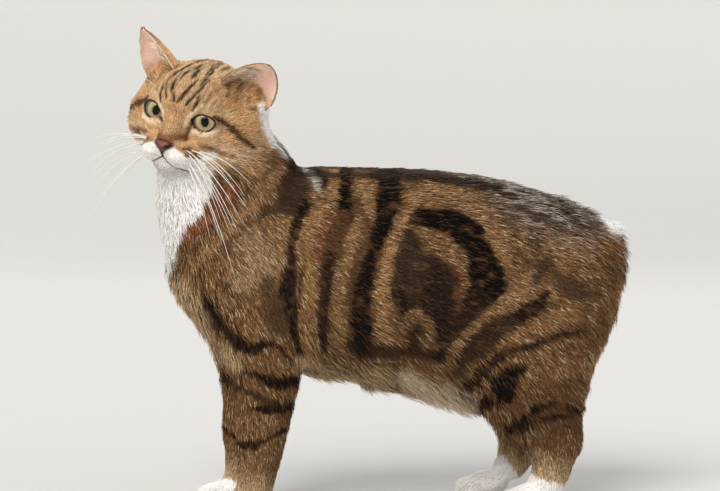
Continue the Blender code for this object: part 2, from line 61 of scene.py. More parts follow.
ORIGIN = np.array((24.0, 13.8, 0.0))
MM = 0.001
LIGHTNESS = np.array((0.2126, 0.7152, 0.0722))
SIDE_WORDS = {1: "left", -1: "right"}
FULL_TURN = 2.0 * math.pi
SEED_SHIFT = 7.31
SEED_PRIME = 2654435761
AXIS_PRIMES = (73856093, 19349663, 83492791)
MIX_STEPS = ((15, 2246822519), (13, 3266489917))
WORD = 0xFFFFFFFF


def to_model(points: Array) -> Array:
    """Points of the cat's frame in millimetres, as points of the model's frame in metres."""
    return (points + ORIGIN) * MM


def unit(vectors: Array) -> Array:
    """Each row of x, y, z divided by its own length."""
    return vectors / np.maximum(np.linalg.norm(vectors, axis=-1, keepdims=True), 1e-9)


def rise(value: Array, low: float, high: float) -> Array:
    """Zero below low and one above high, with a smooth step between, 3t^2 - 2t^3."""
    share = np.clip((value - low) / (high - low), 0.0, 1.0)
    return share * share * (3.0 - 2.0 * share)


def blended(first: Array, second: Array, share: Array) -> Array:
    """Rows that are first where share is 0 and second, rows or one row for all, where it is 1."""
    return first + (np.asarray(second) - first) * np.asarray(share)[..., None]


def mirrored(points: Array) -> Array:
    """Points with y made positive, so that both halves share one description."""
    return np.stack([points[:, 0], np.abs(points[:, 1]), points[:, 2]], axis=1)


def laid(flow: Array, normal: Array) -> Array:
    """Directions turned to lie along the surface with the given normals, as unit rows."""
    return unit(flow - normal * np.sum(flow * normal, axis=1, keepdims=True))


def cloud(points: Array, size: float, seed: int) -> Array:
    """Smooth noise from -1 to 1: a random value at each corner of a lattice, eased between corners.

    Args:
        points: rows of x, y, z.
        size: the lattice's step.
        seed: picks another field.

    Returns:
        One value a row.
    """
    place = points / size + seed * SEED_SHIFT
    cell = np.floor(place).astype(np.int64)
    share = rise(place - cell, 0.0, 1.0)
    total = np.zeros(len(points))
    for corner in product((0, 1), repeat=3):
        at = (cell + np.array(corner)) * np.array(AXIS_PRIMES)
        mixed = (at[:, 0] ^ at[:, 1] ^ at[:, 2] ^ (seed * SEED_PRIME)) & WORD
        for shift, factor in MIX_STEPS:
            mixed = ((mixed ^ (mixed >> shift)) * factor) & WORD
        value = (mixed ^ (mixed >> 16)) / WORD * 2.0 - 1.0
        total += value * np.prod(np.where(np.array(corner) == 1, share, 1.0 - share), axis=1)
    return total


def uneven(colour: Array, amount: float, rng: np.random.Generator) -> Array:
    """Rows of colour, each made paler or darker by chance."""
    return colour * np.exp(rng.normal(0.0, amount, len(colour)))[:, None]


def linear(red: float, green: float, blue: float) -> Array:
    """A colour read as 0-255 screen values, as three values of linear light."""
    value = np.array((red, green, blue)) / 255.0
    return np.where(value <= 0.04045, value / 12.92, ((value + 0.055) / 1.055) ** 2.4)


@dataclass(frozen=True)
class Place:
    """A frame of its own inside the cat's frame."""

    matrix: Matrix

    @property
    def turn(self) -> Array:
        """The rotation as a 3 by 3 array."""
        return np.array(self.matrix.to_3x3())

    @property
    def centre(self) -> Array:
        """The frame's origin in the cat's frame."""
        return np.array(self.matrix.translation)

    def out(self, points: Array) -> Array:
        """Own points as points of the cat's frame."""
        return np.asarray(points) @ self.turn.T + self.centre

    def into(self, points: Array) -> Array:
        """Points of the cat's frame as own points."""
        return (np.asarray(points) - self.centre) @ self.turn


def head_place() -> Place:
    """The head's frame, forward, left and up: turned to the cat's left, nodded down and tilted.

    Returns:
        The head's frame.
    """
    turn = Matrix.Rotation(math.radians(-39.0), 4, "Z")
    forward = Matrix.Rotation(math.radians(-90.0), 4, "Z")
    nod = Matrix.Rotation(math.radians(9.0), 4, "Y")
    tilt = Matrix.Rotation(math.radians(-14.0), 4, "X")
    return Place(Matrix.Translation((-148.0, -12.0, 316.0)) @ turn @ forward @ nod @ tilt)


HEAD = head_place()
NOSE_MIDDLE = np.array((48.5, 0.0, -17.9))
NOSE_HALF = np.array((6.0, 8.2, 5.6))
EYE_CENTRE = np.array((24.5, 21.3, 2.7))
EYE_RADIUS = 11.5
EYE_GAZE = {1: 14.0, -1: 25.0}
EYE_RAISE = 9.0
EYE_REGION = 20.0
MOUTH_PATH = np.array(
    (
        (52.5, 0.0, -23.4), (51.0, 0.0, -27.6), (48.8, 3.5, -30.8),
        (45.5, 9.0, -34.2), (40.5, 14.8, -36.2), (36.0, 18.5, -36.6),
    )
)
MUZZLE_REAR, MUZZLE_TOP = 28.0, -16.0
FAR = 99.0
FACE_BOX = ((12.0, -40.0, -46.0), (FAR, 40.0, 22.0))


def eye_place(side: int) -> Place:
    """An eye's frame: x out along its look, y to the left and z up.

    Args:
        side: 1 for the cat's left eye and -1 for its right.

    Returns:
        The frame at the middle of the ball.
    """
    centre = Matrix.Translation((EYE_CENTRE[0], side * EYE_CENTRE[1], EYE_CENTRE[2]))
    look = Matrix.Rotation(math.radians(side * 9.0), 4, "Z")
    slant = Matrix.Rotation(math.radians(side * 12.0), 4, "X")
    return Place(HEAD.matrix @ centre @ look @ slant)


def eye_edge(angle: Array, side: int) -> tuple[Array, Array]:
    """The edge of an eye's opening in the eye's frame.

    It is an ellipse flattened towards its corners: the height is multiplied by 1 - 0.3 cos^2 above
    and 1 - 0.15 cos^2 below, and the inner corner is drawn out and down.

    Args:
        angle: radians from the cat's left, turning up.
        side: 1 for the left eye and -1 for the right.

    Returns:
        Millimetres to the left and up.
    """
    outward, up = np.cos(angle) * side, np.sin(angle)
    corner = np.clip(-outward, 0.0, 1.0) ** 7
    wide = np.where(outward > 0.0, 9.4, 9.6) + 1.1 * corner
    high = np.where(up > 0.0, 6.7 * (1.0 - 0.3 * outward**2), 6.8 * (1.0 - 0.15 * outward**2))
    return side * outward * wide, up * high - 1.4 * corner


def eye_share(own: Array, side: int) -> Array:
    """How far out of an eye's opening places of its frame are: 1 on the edge.

    Args:
        own: rows in the eye's frame.
        side: 1 for the left eye and -1 for the right.

    Returns:
        One share a row.
    """
    _, left, up = own.T
    edge = eye_edge(np.arctan2(up / 6.7, left / 9.5), side)
    return np.hypot(left, up) / np.maximum(np.hypot(*edge), 1e-6)


def nose_taper(high: Array) -> Array:
    """How wide the nose is for a height from -1 at its foot to 1 at its top: 0.28, growing to 1."""
    return 0.28 + 0.72 * rise(high, -1.0, 0.35)


def nose_share(own: Array) -> Array:
    """How far out of the nose's outline places are: 0 in the middle and 1 on the edge.

    Args:
        own: rows in the head's frame.

    Returns:
        One share a row, large behind the nose.
    """
    high = (own[:, 2] - NOSE_MIDDLE[2]) / NOSE_HALF[2]
    across = own[:, 1] / (NOSE_HALF[1] * nose_taper(high))
    return np.hypot(across, high) + 9.0 * (own[:, 0] < 42.0)


def mouth_gap(own: Array) -> Array:
    """Distance to the line of the mouth, on either side of the face.

    Args:
        own: rows in the head's frame.

    Returns:
        Millimetres a row, and FAR away from the muzzle.
    """
    gap = np.full(len(own), FAR)
    near = (own[:, 0] > MUZZLE_REAR) & (own[:, 2] < MUZZLE_TOP)
    line = curve_through(MOUTH_PATH, 60)
    gap[near] = np.min(np.linalg.norm(mirrored(own[near])[:, None] - line[None], axis=2), axis=1)
    return gap


def above_plane(points: Array, point: tuple[float, ...], normal: tuple[float, ...]) -> Array:
    """Distance above the plane through a point with the given normal, below zero under it."""
    return (points - np.array(point)) @ unit(np.array(normal))


def above_neck(points: Array) -> Array:
    """Distance above the plane between head and neck."""
    return above_plane(points, (-128, -8, 282), (-0.304, -0.152, 0.94))


def head_share(points: Array) -> Array:
    """How much a point belongs to the head: a step across the plane between head and neck."""
    return rise(above_neck(points), -9.0, 9.0)


class Tone(Enum):
    """The coat's colours, as linear light."""

    INK = tuple(linear(18, 13, 11))
    DARK = tuple(linear(40, 28, 21))
    SABLE = tuple(linear(60, 45, 35))
    UMBER = tuple(linear(90, 61, 40))
    RUST = tuple(linear(146, 86, 55))
    GOLD = tuple(linear(130, 94, 59))
    AMBER = tuple(linear(168, 126, 82))
    HONEY = tuple(linear(214, 168, 120))
    BEIGE = tuple(linear(208, 178, 138))
    CREAM = tuple(linear(230, 210, 180))
    SILVER = tuple(linear(178, 171, 160))
    WHITE = tuple(linear(243, 240, 236))

    def over(self, colour: Array, share: Array) -> Array:
        """Rows of colour with this tone laid over them by a share a row."""
        return blended(colour, self.value, share)

    def rows(self, count: int) -> Array:
        """This tone as so many equal rows."""
        return np.tile(np.array(self.value), (count, 1))


@dataclass(frozen=True)
class Stroke:
    """A band of one colour drawn on the side view of the cat.

    Each knot is a place and the band's width there. Places are in steps of 0.8 mm, to the right
    from 304 mm ahead of the middle of the back and down from 405.6 mm above the floor.
    """

    tone: Tone
    knots: tuple[tuple[float, float, float], ...]
    strength: float = 1.0
    soft: float = 2.4

    def share(self, places: Array) -> Array:
        """How much of the colour each place takes.

        The distance to each straight piece of the path, less half the width there, goes through a
        smooth step as wide as soft. The nearest piece counts.

        Args:
            places: rows of steps right and down.

        Returns:
            A share from 0 to strength for each row.
        """
        knots = np.array(self.knots, float)
        nearest = np.full(len(places), 1e9)
        for start, end in zip(knots[:-1], knots[1:]):
            along = end[:2] - start[:2]
            share = np.clip((places - start[:2]) @ along / (along @ along), 0.0, 1.0)
            gap = np.linalg.norm(places - start[:2] - share[:, None] * along, axis=1)
            nearest = np.minimum(nearest, gap - (start[2] + (end[2] - start[2]) * share) / 2.0)
        return self.strength * (1.0 - rise(nearest, -self.soft, self.soft))


TRUNK_STROKES: dict[str, Stroke] = {name: Stroke(*row) for name, row in {
    "shoulder_pale": (Tone.BEIGE, ((245, 235, 26), (262, 262, 34), (240, 280, 22)), 0.3, 10),
    "grey_side": (Tone.SILVER, ((500, 206, 20), (540, 222, 34), (580, 238, 34)), 0.2, 14),
    "shoulder_patch": (Tone.SABLE, ((290, 166, 18), (291, 184, 38), (293, 200, 32)), 0.9, 5),
    "patch_tail": (Tone.SABLE, ((288, 204, 22), (264, 212, 12)), 0.75, 4),
    "neck_brown": (Tone.UMBER, ((262, 208, 10), (245, 228, 9), (222, 250, 7), (205, 268, 4)), 0.5, 3),
    "neck_warm": (Tone.AMBER, (
        (279, 170, 10), (266, 190, 11), (250, 208, 11), (228, 230, 10), (192, 266, 10),
    ), 0.8, 3),
    "necklace": (Tone.RUST, (
        (234, 185, 12), (226, 199, 20), (213, 214, 20), (197, 228, 18), (184, 236, 12),
    ), 0.95, 3),
    "throat_brown": (Tone.UMBER, ((250, 186, 7), (232, 206, 6), (212, 228, 6), (196, 244, 5)), 0.5, 3),
    "breast": (Tone.BEIGE, ((186, 286, 18), (199, 310, 20), (212, 334, 18)), 0.75, 5),
    "shoulder_mottle": (Tone.SABLE, ((268, 288, 22), (276, 304, 34), (280, 324, 28)), 0.7, 8),
    "shoulder_arc": (Tone.DARK, ((222, 282, 4), (232, 295, 5), (250, 299, 5)), 0.6, 2),
    "first_line": (Tone.INK, (
        (304, 204, 12), (297, 222, 10), (292, 240, 9), (291, 258, 9), (288, 278, 15), (287, 294, 16),
        (292, 312, 12), (294, 336, 8), (298, 354, 6),
    ), 0.95),
    "second_red": (Tone.RUST, ((330, 226, 16), (322, 246, 16), (317, 262, 10)), 0.55, 4),
    "second_top": (Tone.INK, ((345, 158, 13), (345, 180, 14), (343, 200, 16), (346, 216, 14)), 1.0, 2),
    "second_middle": (Tone.UMBER, ((343, 220, 18), (333, 240, 22), (329, 258, 18)), 0.95, 3),
    "second_low": (Tone.DARK, ((328, 258, 13), (325, 284, 13), (323, 310, 12), (323, 346, 9)), 0.95),
    "wither_line": (Tone.INK, ((309, 166, 7), (319, 176, 9), (327, 190, 8), (331, 202, 5)), 0.95, 2),
    "crescent": (Tone.SILVER, ((304, 172, 4), (313, 181, 7), (320, 193, 5)), 0.9, 2),
    "wither_warm": (Tone.AMBER, ((333, 164, 9), (334, 180, 10), (330, 197, 13)), 0.8, 2),
    "thin_line": (Tone.DARK, ((304, 256, 2.5), (301, 274, 3), (299, 292, 3.5)), 0.9, 1.3),
    "first_warm": (Tone.AMBER, (
        (322, 208, 12), (308, 232, 12), (307, 262, 9), (310, 286, 13), (309, 320, 13), (311, 348, 14),
    ), 0.6, 3),
    "second_warm": (Tone.AMBER, (
        (361, 178, 14), (366, 205, 12), (359, 232, 18), (350, 255, 12), (341, 280, 8), (339, 312, 9),
        (341, 348, 12),
    ), 0.6, 4),
    "side_brown": (Tone.UMBER, (
        (352, 200, 8), (368, 228, 10), (366, 250, 20), (359, 275, 24), (356, 300, 26), (358, 334, 24),
    ), 0.85, 4),
    "spine": (Tone.SABLE, (
        (352, 169, 8), (380, 172, 14), (412, 176, 15), (450, 181, 14), (490, 188, 10),
    ), 0.9, 3),
    "third_top": (Tone.INK, (
        (386, 170, 20), (389, 190, 26), (386, 210, 22), (381, 228, 18), (376, 245, 15),
    ), 1.0, 2.2),
    "third_low": (Tone.INK, (
        (376, 245, 14), (370, 262, 12), (364, 280, 16), (361, 300, 20), (361, 322, 22), (362, 346, 18),
    ), 0.97, 2.6),
    "third_warm": (Tone.AMBER, (
        (411, 204, 9), (402, 228, 13), (389, 256, 15), (382, 284, 15), (381, 312, 14), (386, 340, 12),
    ), 0.8, 2.6),
    "arch_warm": (Tone.AMBER, (
        (413, 199, 14), (430, 193, 22), (452, 197, 18), (472, 204, 18), (490, 222, 18), (496, 244, 16),
        (507, 264, 12),
    ), 0.6, 4),
    "ring_dark": (Tone.SABLE, (
        (408, 238, 18), (409, 262, 32), (420, 285, 60), (424, 304, 60), (438, 330, 30),
    ), 0.97, 3.5),
    "ring_inner": (Tone.DARK, ((442, 280, 34), (438, 304, 38), (444, 330, 22)), 0.85, 6),
    "ring_ink": (Tone.INK, ((397, 296, 10), (406, 310, 12)), 0.7, 4),
    "ring_top": (Tone.INK, ((418, 218, 15), (436, 220, 20), (455, 224, 24), (469, 238, 28)), 1.0, 2.4),
    "ring_side": (Tone.INK, (
        (474, 246, 24), (480, 258, 27), (484, 272, 36), (487, 288, 34), (478, 302, 28),
    ), 1.0, 2.6),
    "ring_low": (Tone.DARK, (
        (478, 302, 26), (466, 316, 22), (454, 330, 16), (446, 345, 12), (438, 356, 9),
    ), 0.97, 3),
    "ring_warm": (Tone.GOLD, ((424, 237, 10), (437, 244, 20), (450, 255, 20)), 0.95, 3.2),
    "ring_strand": (Tone.RUST, ((457, 266, 8), (461, 282, 6), (454, 296, 4)), 0.6, 3),
    "ring_arch": (Tone.GOLD, (
        (404, 338, 8), (407, 321, 10), (417, 314, 13), (427, 322, 11), (431, 338, 8),
    ), 0.9, 2.8),
    "arch_core": (Tone.DARK, ((411, 333, 10), (415, 344, 12)), 0.9, 3),
    "flank_line": (Tone.DARK, ((352, 345, 14), (380, 350, 12), (410, 352, 11), (440, 356, 12)), 0.85, 4),
    "flank_warm": (Tone.AMBER, (
        (531, 272, 8), (520, 290, 12), (500, 306, 14), (482, 318, 11), (466, 334, 9), (453, 350, 8),
    ), 0.7, 4),
    "rear_spot": (Tone.SABLE, ((538, 244, 12), (531, 258, 10)), 0.4, 5),
    "rear_mark": (Tone.SABLE, ((548, 262, 12), (541, 270, 18), (536, 280, 10)), 0.8, 4),
    "rear_blotch": (Tone.SABLE, ((554, 274, 10), (563, 284, 20), (578, 292, 18), (594, 296, 8)), 0.75, 5),
    "first_diagonal": (Tone.INK, (
        (546, 295, 7), (537, 305, 16), (524, 313, 16), (508, 323, 12),
    ), 0.95, 2.6),
    "diagonal_tail": (Tone.SABLE, (
        (508, 322, 16), (492, 332, 24), (478, 344, 26), (465, 356, 17), (455, 370, 8),
    ), 0.95, 3),
    "thigh_warm": (Tone.AMBER, (
        (570, 316, 14), (545, 326, 14), (520, 336, 12), (495, 350, 8), (470, 370, 8),
    ), 0.35, 4),
    "leg_shade": (Tone.UMBER, ((470, 392, 16), (520, 404, 30), (560, 396, 34), (575, 430, 30)), 0.5, 12),
    "second_diagonal": (Tone.DARK, (
        (587, 331, 3), (572, 333, 5), (556, 336, 6), (541, 342, 6), (525, 349, 7), (508, 352, 9),
        (494, 361, 9), (480, 373, 11), (466, 386, 11), (457, 396, 8),
    ), 0.95, 2),
    "thigh_blot": (Tone.INK, (
        (522, 368, 8), (513, 374, 17), (506, 383, 24), (508, 392, 20), (499, 399, 16), (488, 405, 12),
        (480, 409, 8),
    ), 1.0, 2.6),
    "thigh_faint": (Tone.UMBER, ((531, 382, 10), (558, 384, 10)), 0.4, 5),
    "thigh_lines": (Tone.UMBER, ((540, 360, 4), (562, 357, 4), (580, 352, 3)), 0.45, 2),
    "hock_fill": (Tone.UMBER, ((530, 417, 8), (560, 412, 9)), 0.75, 3),
    "hock_top": (Tone.INK, (
        (508, 428, 9), (520, 421, 9), (530, 412, 8), (542, 406, 7), (558, 406, 6), (574, 410, 6),
        (586, 418, 4),
    ), 0.95, 2),
    "hock_low": (Tone.DARK, ((522, 426, 6), (538, 421, 6), (556, 417, 6), (572, 416, 6)), 0.9, 2),
    "hock_line": (Tone.UMBER, ((531, 443, 4), (541, 443, 5), (553, 446, 5)), 0.85, 2),
    "seat_warm": (Tone.AMBER, ((616, 290, 10), (612, 322, 10), (600, 346, 8), (584, 374, 8)), 0.65, 5),
    "belly_warm": (Tone.BEIGE, ((300, 362, 14), (340, 370, 16), (385, 378, 18)), 0.65, 6),
    "belly_pale": (Tone.CREAM, ((404, 376, 14), (426, 386, 20), (450, 394, 24), (470, 400, 18)), 0.8, 7),
    "knob": (Tone.WHITE, ((602, 218, 13), (613, 229, 22)), 0.9, 4),
    "rump_silver": (Tone.SILVER, (
        (440, 170, 5), (500, 181, 9), (545, 195, 16), (585, 213, 18), (600, 224, 14),
    ), 0.4, 5),
    "foreleg_fall": (Tone.INK, (
        (206, 292, 5), (214, 308, 8), (224, 322, 9), (233, 334, 10), (243, 346, 12),
    ), 0.9, 3),
    "foreleg_pale": (Tone.BEIGE, ((226, 348, 12), (235, 358, 14), (240, 366, 10)), 0.7, 4),
    "foreleg_first": (Tone.INK, (
        (244, 346, 10), (254, 348, 14), (262, 346, 10), (270, 343, 5), (280, 350, 4), (290, 359, 3),
    ), 0.97, 2),
    "foreleg_second": (Tone.INK, (
        (246, 371, 3), (256, 375, 6), (266, 380, 11), (280, 383, 13), (293, 380, 9), (301, 376, 5),
    ), 0.97, 2),
    "foreleg_third": (Tone.DARK, (
        (216, 376, 7), (228, 384, 9), (242, 388, 8), (253, 394, 6), (264, 399, 6), (276, 402, 6),
    ), 0.85, 2.2),
    "foreleg_fourth": (Tone.INK, ((251, 407, 4), (264, 408, 11), (280, 407, 11), (297, 404, 7)), 0.97, 2),
    "foreleg_fifth": (Tone.DARK, (
        (237, 439, 3), (246, 444, 8), (254, 444, 9), (262, 441, 4), (274, 435, 3), (282, 430, 6),
        (289, 430, 4),
    ), 0.97, 1.6),
    "foreleg_sixth": (Tone.UMBER, ((238, 450, 2.5), (245, 458, 2.5), (250, 463, 2)), 0.7, 1.4),
    "foreleg_seventh": (Tone.UMBER, ((236, 478, 2.5), (246, 482, 2.5), (254, 484, 2)), 0.5, 1.4),
    "ruff_back": (Tone.WHITE, ((264, 108, 12), (269, 125, 18), (277, 140, 18), (285, 154, 10)), 1.0, 3),
    "cheek_back": (Tone.HONEY, ((238, 156, 18), (254, 166, 20)), 0.7, 6),
    "bib": (Tone.WHITE, ((183, 160, 60), (183, 186, 58), (180, 203, 50)), 1.0, 2.6),
    "bib_low": (Tone.WHITE, ((168, 212, 48), (165, 236, 36), (166, 262, 26), (170, 278, 14)), 1.0, 3),
}.items()}

FACE_STROKES: dict[str, Stroke] = {name: Stroke(*row) for name, row in {
    "forehead": (Tone.BEIGE, ((180, 98, 22), (196, 80, 34), (222, 72, 26)), 0.3, 8),
    "cheek": (Tone.AMBER, ((232, 118, 24), (244, 142, 28)), 0.3, 12),
    # Painted light: a cream wash that lightens the lower cheek against the shade the lamps leave on it.
    "cheek_low": (Tone.CREAM, ((210, 146, 8), (230, 158, 18), (248, 158, 20)), 0.5, 8),
    "throat": (Tone.WHITE, ((172, 186, 44), (196, 190, 36)), 1.0, 4),
    "brow": (Tone.BEIGE, ((195, 110, 5), (205, 106, 8), (217, 109, 7), (228, 117, 5)), 0.85, 3),
    "bridge": (Tone.AMBER, ((181, 112, 8), (174, 125, 15), (169, 134, 13)), 0.4, 4),
    "stop": (Tone.RUST, ((171, 104, 10), (176, 112, 8)), 0.45, 4),
    "nose_band": (Tone.RUST, ((154, 137, 5), (170, 138, 7), (188, 138, 5)), 0.8, 2.2),
    "tear_line": (Tone.UMBER, ((192, 125, 3), (189, 131, 4), (185, 138, 4)), 0.85, 1.5),
    "inner_eye": (Tone.CREAM, ((184, 127, 3), (187, 120, 5), (191, 114, 4.5), (196, 110, 3)), 1.0, 1.5),
    "lower_eye": (Tone.CREAM, ((193, 131, 3), (200, 135, 4.5), (210, 135, 4.5), (219, 129, 3)), 1.0, 1.4),
    "temple_line": (Tone.UMBER, (
        (214, 117, 4), (224, 123, 5), (231, 129, 6.5), (237, 136, 6), (244, 141, 5), (253, 148, 4),
    ), 1.0, 1.5),
    "cheek_line": (Tone.RUST, ((200, 146, 3), (212, 149, 3.5), (222, 154, 5), (232, 156, 4)), 0.8, 1.8),
    "muzzle": (Tone.WHITE, (
        (159, 155, 10), (168, 152, 10), (177, 155, 13), (188, 163, 13), (200, 165, 11),
    ), 1.0, 2),
    "muzzle_side": (Tone.WHITE, ((200, 158, 9), (212, 156, 9)), 0.9, 2.6),
    "lips": (Tone.WHITE, ((156, 161, 12), (166, 165, 13), (178, 170, 13), (194, 172, 12)), 1.0, 2),
    "chin": (Tone.WHITE, ((154, 168, 14), (170, 174, 18), (186, 174, 18), (204, 174, 14)), 1.0, 3),
    # Painted shade: a grey wash on the lower lip and chin, where shade falls under the mouth.
    "under_lip": (Tone.SILVER, ((157, 166, 7), (166, 172, 10), (184, 176, 9)), 0.5, 4),
    "whisker_patch": (Tone.AMBER, ((178, 148, 4), (187, 152, 8), (198, 157, 6)), 0.9, 1.8),
    "freckle_high": (Tone.UMBER, ((183, 149.6, 1.6), (189, 148.9, 2.2), (189.3, 151.6, 1.8)), 0.9, 0.8),
    "freckle_middle": (Tone.UMBER, ((185.7, 155.7, 2), (191.3, 156.6, 2.4)), 0.85, 0.8),
    "freckle_low": (Tone.UMBER, ((194, 152.6, 2), (198.8, 157.3, 2)), 0.7, 0.8),
    "streak_one": (Tone.DARK, ((184, 77, 2), (178, 87, 3.5), (172, 99, 3)), 0.95, 1.2),
    "streak_two": (Tone.DARK, ((168, 91, 2), (165, 102, 3)), 0.85, 1.2),
    "streak_three": (Tone.DARK, ((198, 79, 2), (189, 90, 4), (178, 102, 3.5)), 0.95, 1.3),
    "streak_four": (Tone.DARK, ((209, 81, 2), (196, 94, 3), (186, 105, 2.5)), 0.95, 1.2),
    "streak_five": (Tone.DARK, ((200, 96, 2), (196, 104, 3.5), (192, 111, 2.5)), 0.9, 1.2),
    "streak_six": (Tone.UMBER, ((214, 93, 2), (205, 103, 2.5)), 0.7, 1.4),
    "crown_blot": (Tone.DARK, ((181, 70, 5), (176, 77, 9)), 0.95, 1.6),
    "crown_one": (Tone.DARK, ((193, 61, 4), (184, 69, 4)), 0.95, 1.3),
    "crown_two": (Tone.DARK, ((205, 64, 4), (194, 76, 4), (190, 81, 2)), 0.95, 1.3),
    "crown_three": (Tone.DARK, ((212, 71, 4), (205, 79, 4.5), (199, 87, 2.5)), 0.95, 1.3),
    "crown_four": (Tone.DARK, ((227, 62, 4), (213, 68, 4.5)), 0.9, 1.4),
    "crown_five": (Tone.DARK, ((234, 67, 3), (222, 71, 3)), 0.85, 1.4),
    "ear_shade": (Tone.UMBER, ((250, 110, 5), (264, 111, 7)), 0.65, 3),
    "ruff": (Tone.WHITE, ((264, 108, 12), (269, 126, 18), (277, 142, 18), (286, 158, 12)), 1.0, 2.6),
}.items()}

BROKEN = ("streak", "crown")


@dataclass
class Markings:
    """The tabby's bands, patches and white, as a colour for any point of the body."""

    eye_distance: float = 2200.0
    azimuth: float = -12.0
    elevation: float = 3.5
    step: float = 0.8
    middle: tuple[float, float] = (-16.0, 209.0)
    corner: tuple[float, float] = (380.0, 507.0)

    def axes(self) -> tuple[Array, Array, Array]:
        """The side view's own axes.

        Returns:
            Unit vectors towards the viewer, to the right and up.
        """
        turn, lift = math.radians(self.azimuth), math.radians(self.elevation)
        towards = np.array(
            (math.sin(turn) * math.cos(lift), -math.cos(turn) * math.cos(lift), math.sin(lift))
        )
        right = np.array((math.cos(turn), math.sin(turn), 0.0))
        return towards, right, np.cross(towards, right)

    def aim(self) -> Array:
        """The point that the side view is centred on, in the cat's frame."""
        return self.axes()[1] * self.middle[0] + np.array((0.0, 0.0, self.middle[1]))

    def seen(self, points: Array) -> Array:
        """Where points lie on the side view, in the strokes' steps.

        Args:
            points: rows in the cat's frame.

        Returns:
            Rows of steps right and down, by central projection from the viewer's distance.
        """
        towards, right, up = self.axes()
        away = points - (self.aim() + towards * self.eye_distance)
        scale = self.eye_distance / -(away @ towards)
        across = self.middle[0] + (away @ right) * scale
        high = self.middle[1] + (away @ up) * scale
        left, top = self.corner
        return np.stack([left + across / self.step, top - high / self.step], axis=1)

    def colour(self, points: Array) -> Array:
        """The coat's colour.

        Body and face are each drawn on the near side and mirrored to the far one, then blended
        across the plane between head and neck. White feet and the back's stripes lie on top.

        Args:
            points: rows in the cat's frame.

        Returns:
            Rows of linear red, green and blue.
        """
        wobble = np.stack([cloud(points, 8.0, 3), cloud(points, 8.0, 4)], axis=1) * 1.8
        wobble += np.stack([cloud(points, 2.4, 5), cloud(points, 2.4, 6)], axis=1) * 1.6
        body = self._body(points, wobble)
        face = self._face(points, wobble * 0.55)
        return self._feet(points, blended(body, face, head_share(points)))

    def _body(self, points: Array, wobble: Array) -> Array:
        """The body's colours, from the strokes on the near side.

        Args:
            points: rows in the cat's frame.
            wobble: steps that each point's place is moved by.

        Returns:
            Rows of colour.
        """
        patchy = cloud(points, 24.0, 8)
        colour = Tone.AMBER.over(Tone.GOLD.rows(len(points)), 0.3 * rise(patchy, 0.0, 0.7))
        colour = Tone.UMBER.over(colour, 0.35 * rise(-patchy, 0.1, 0.8))
        blotches = rise(cloud(points * np.array((0.6, 1.0, 1.0)), 8.0, 18), 0.05, 0.6)
        colour = Tone.SABLE.over(colour, 0.42 * blotches * rise(points[:, 0], -90.0, 20.0))
        places = self.seen(mirrored(points) * np.array((1.0, -1.0, 1.0))) + wobble
        for name, stroke in TRUNK_STROKES.items():
            share = stroke.share(places) * (name != "ruff_back" or points[:, 1] < 0.0)
            colour = stroke.tone.over(colour, share)
        grizzle = rise(cloud(points * np.array((0.45, 1.0, 1.0)), 3.4, 16), 0.15, 0.75)
        dark = rise(-(colour @ LIGHTNESS), -0.06, -0.01) * rise(points[:, 0], -140.0, -90.0)
        colour = Tone.GOLD.over(colour, 0.4 * grizzle * dark)
        knob = TRUNK_STROKES["knob"]
        return knob.tone.over(self._back(points, colour), knob.share(places))

    def _back(self, points: Array, colour: Array) -> Array:
        """Three dark lines along the spine, and silver hair on the rump.

        Args:
            points: rows in the cat's frame.
            colour: the body's colours so far.

        Returns:
            Rows of colour.
        """
        x, y, z = points.T
        width = np.abs(y + cloud(points, 12.0, 11) * 3.0)
        high = rise(z - 0.25 * np.abs(x - 40.0) * (x > 40.0), 218.0, 240.0)
        along = rise(x, -105.0, -80.0) * high
        outer = rise(width, 12.0, 15.0) * (1.0 - rise(width, 20.0, 24.0))
        lines = np.maximum(1.0 - rise(width, 4.0, 8.0), outer)
        colour = Tone.DARK.over(colour, 0.85 * lines * along)
        rump = rise(x, 50.0, 120.0) * rise(z, 205.0, 226.0) * (1.0 - rise(width, 30.0, 44.0))
        streaks = cloud(points * np.array((0.13, 1.0, 0.8)), 2.2, 12)
        hair = Tone.SILVER.over(Tone.DARK.rows(len(points)), rise(streaks, -0.1, 0.65))
        return blended(colour, hair, 0.75 * rump)

    def _face(self, points: Array, wobble: Array) -> Array:
        """The head's colours, from the strokes on its left half.

        Args:
            points: rows in the cat's frame.
            wobble: steps that each point's place is moved by.

        Returns:
            Rows of colour.
        """
        own = HEAD.into(points)
        patchy = cloud(points, 12.0, 9)
        colour = Tone.BEIGE.over(Tone.HONEY.rows(len(points)), 0.4 * rise(patchy, -0.4, 0.6))
        colour = Tone.GOLD.over(colour, 0.2 * rise(-patchy, 0.1, 0.8))
        places = self.seen(HEAD.out(mirrored(own))) + wobble
        broken = 0.5 + 0.5 * rise(cloud(own * np.array((0.35, 1.0, 0.35)), 2.2, 15), -0.5, 0.1)
        fine = rise(cloud(own * np.array((0.25, 1.0, 0.25)), 1.7, 17), 0.0, 0.55)
        front = Tone.UMBER.over(colour, 0.5 * (fine * rise(own[:, 2], 8.0, 22.0)))
        for name, stroke in FACE_STROKES.items():
            share = stroke.share(places) * (name != "ruff" or own[:, 1] > 0.0)
            front = stroke.tone.over(front, share * broken if name.startswith(BROKEN) else share)
        stripes = np.cos(own[:, 1] / 3.6 + cloud(points, 14.0, 13) * 1.2)
        back = Tone.DARK.over(colour, 0.7 * rise(stripes, 0.1, 0.7))
        return blended(back, front, rise(own[:, 0] + 0.25 * np.abs(own[:, 1]), -22.0, -8.0))

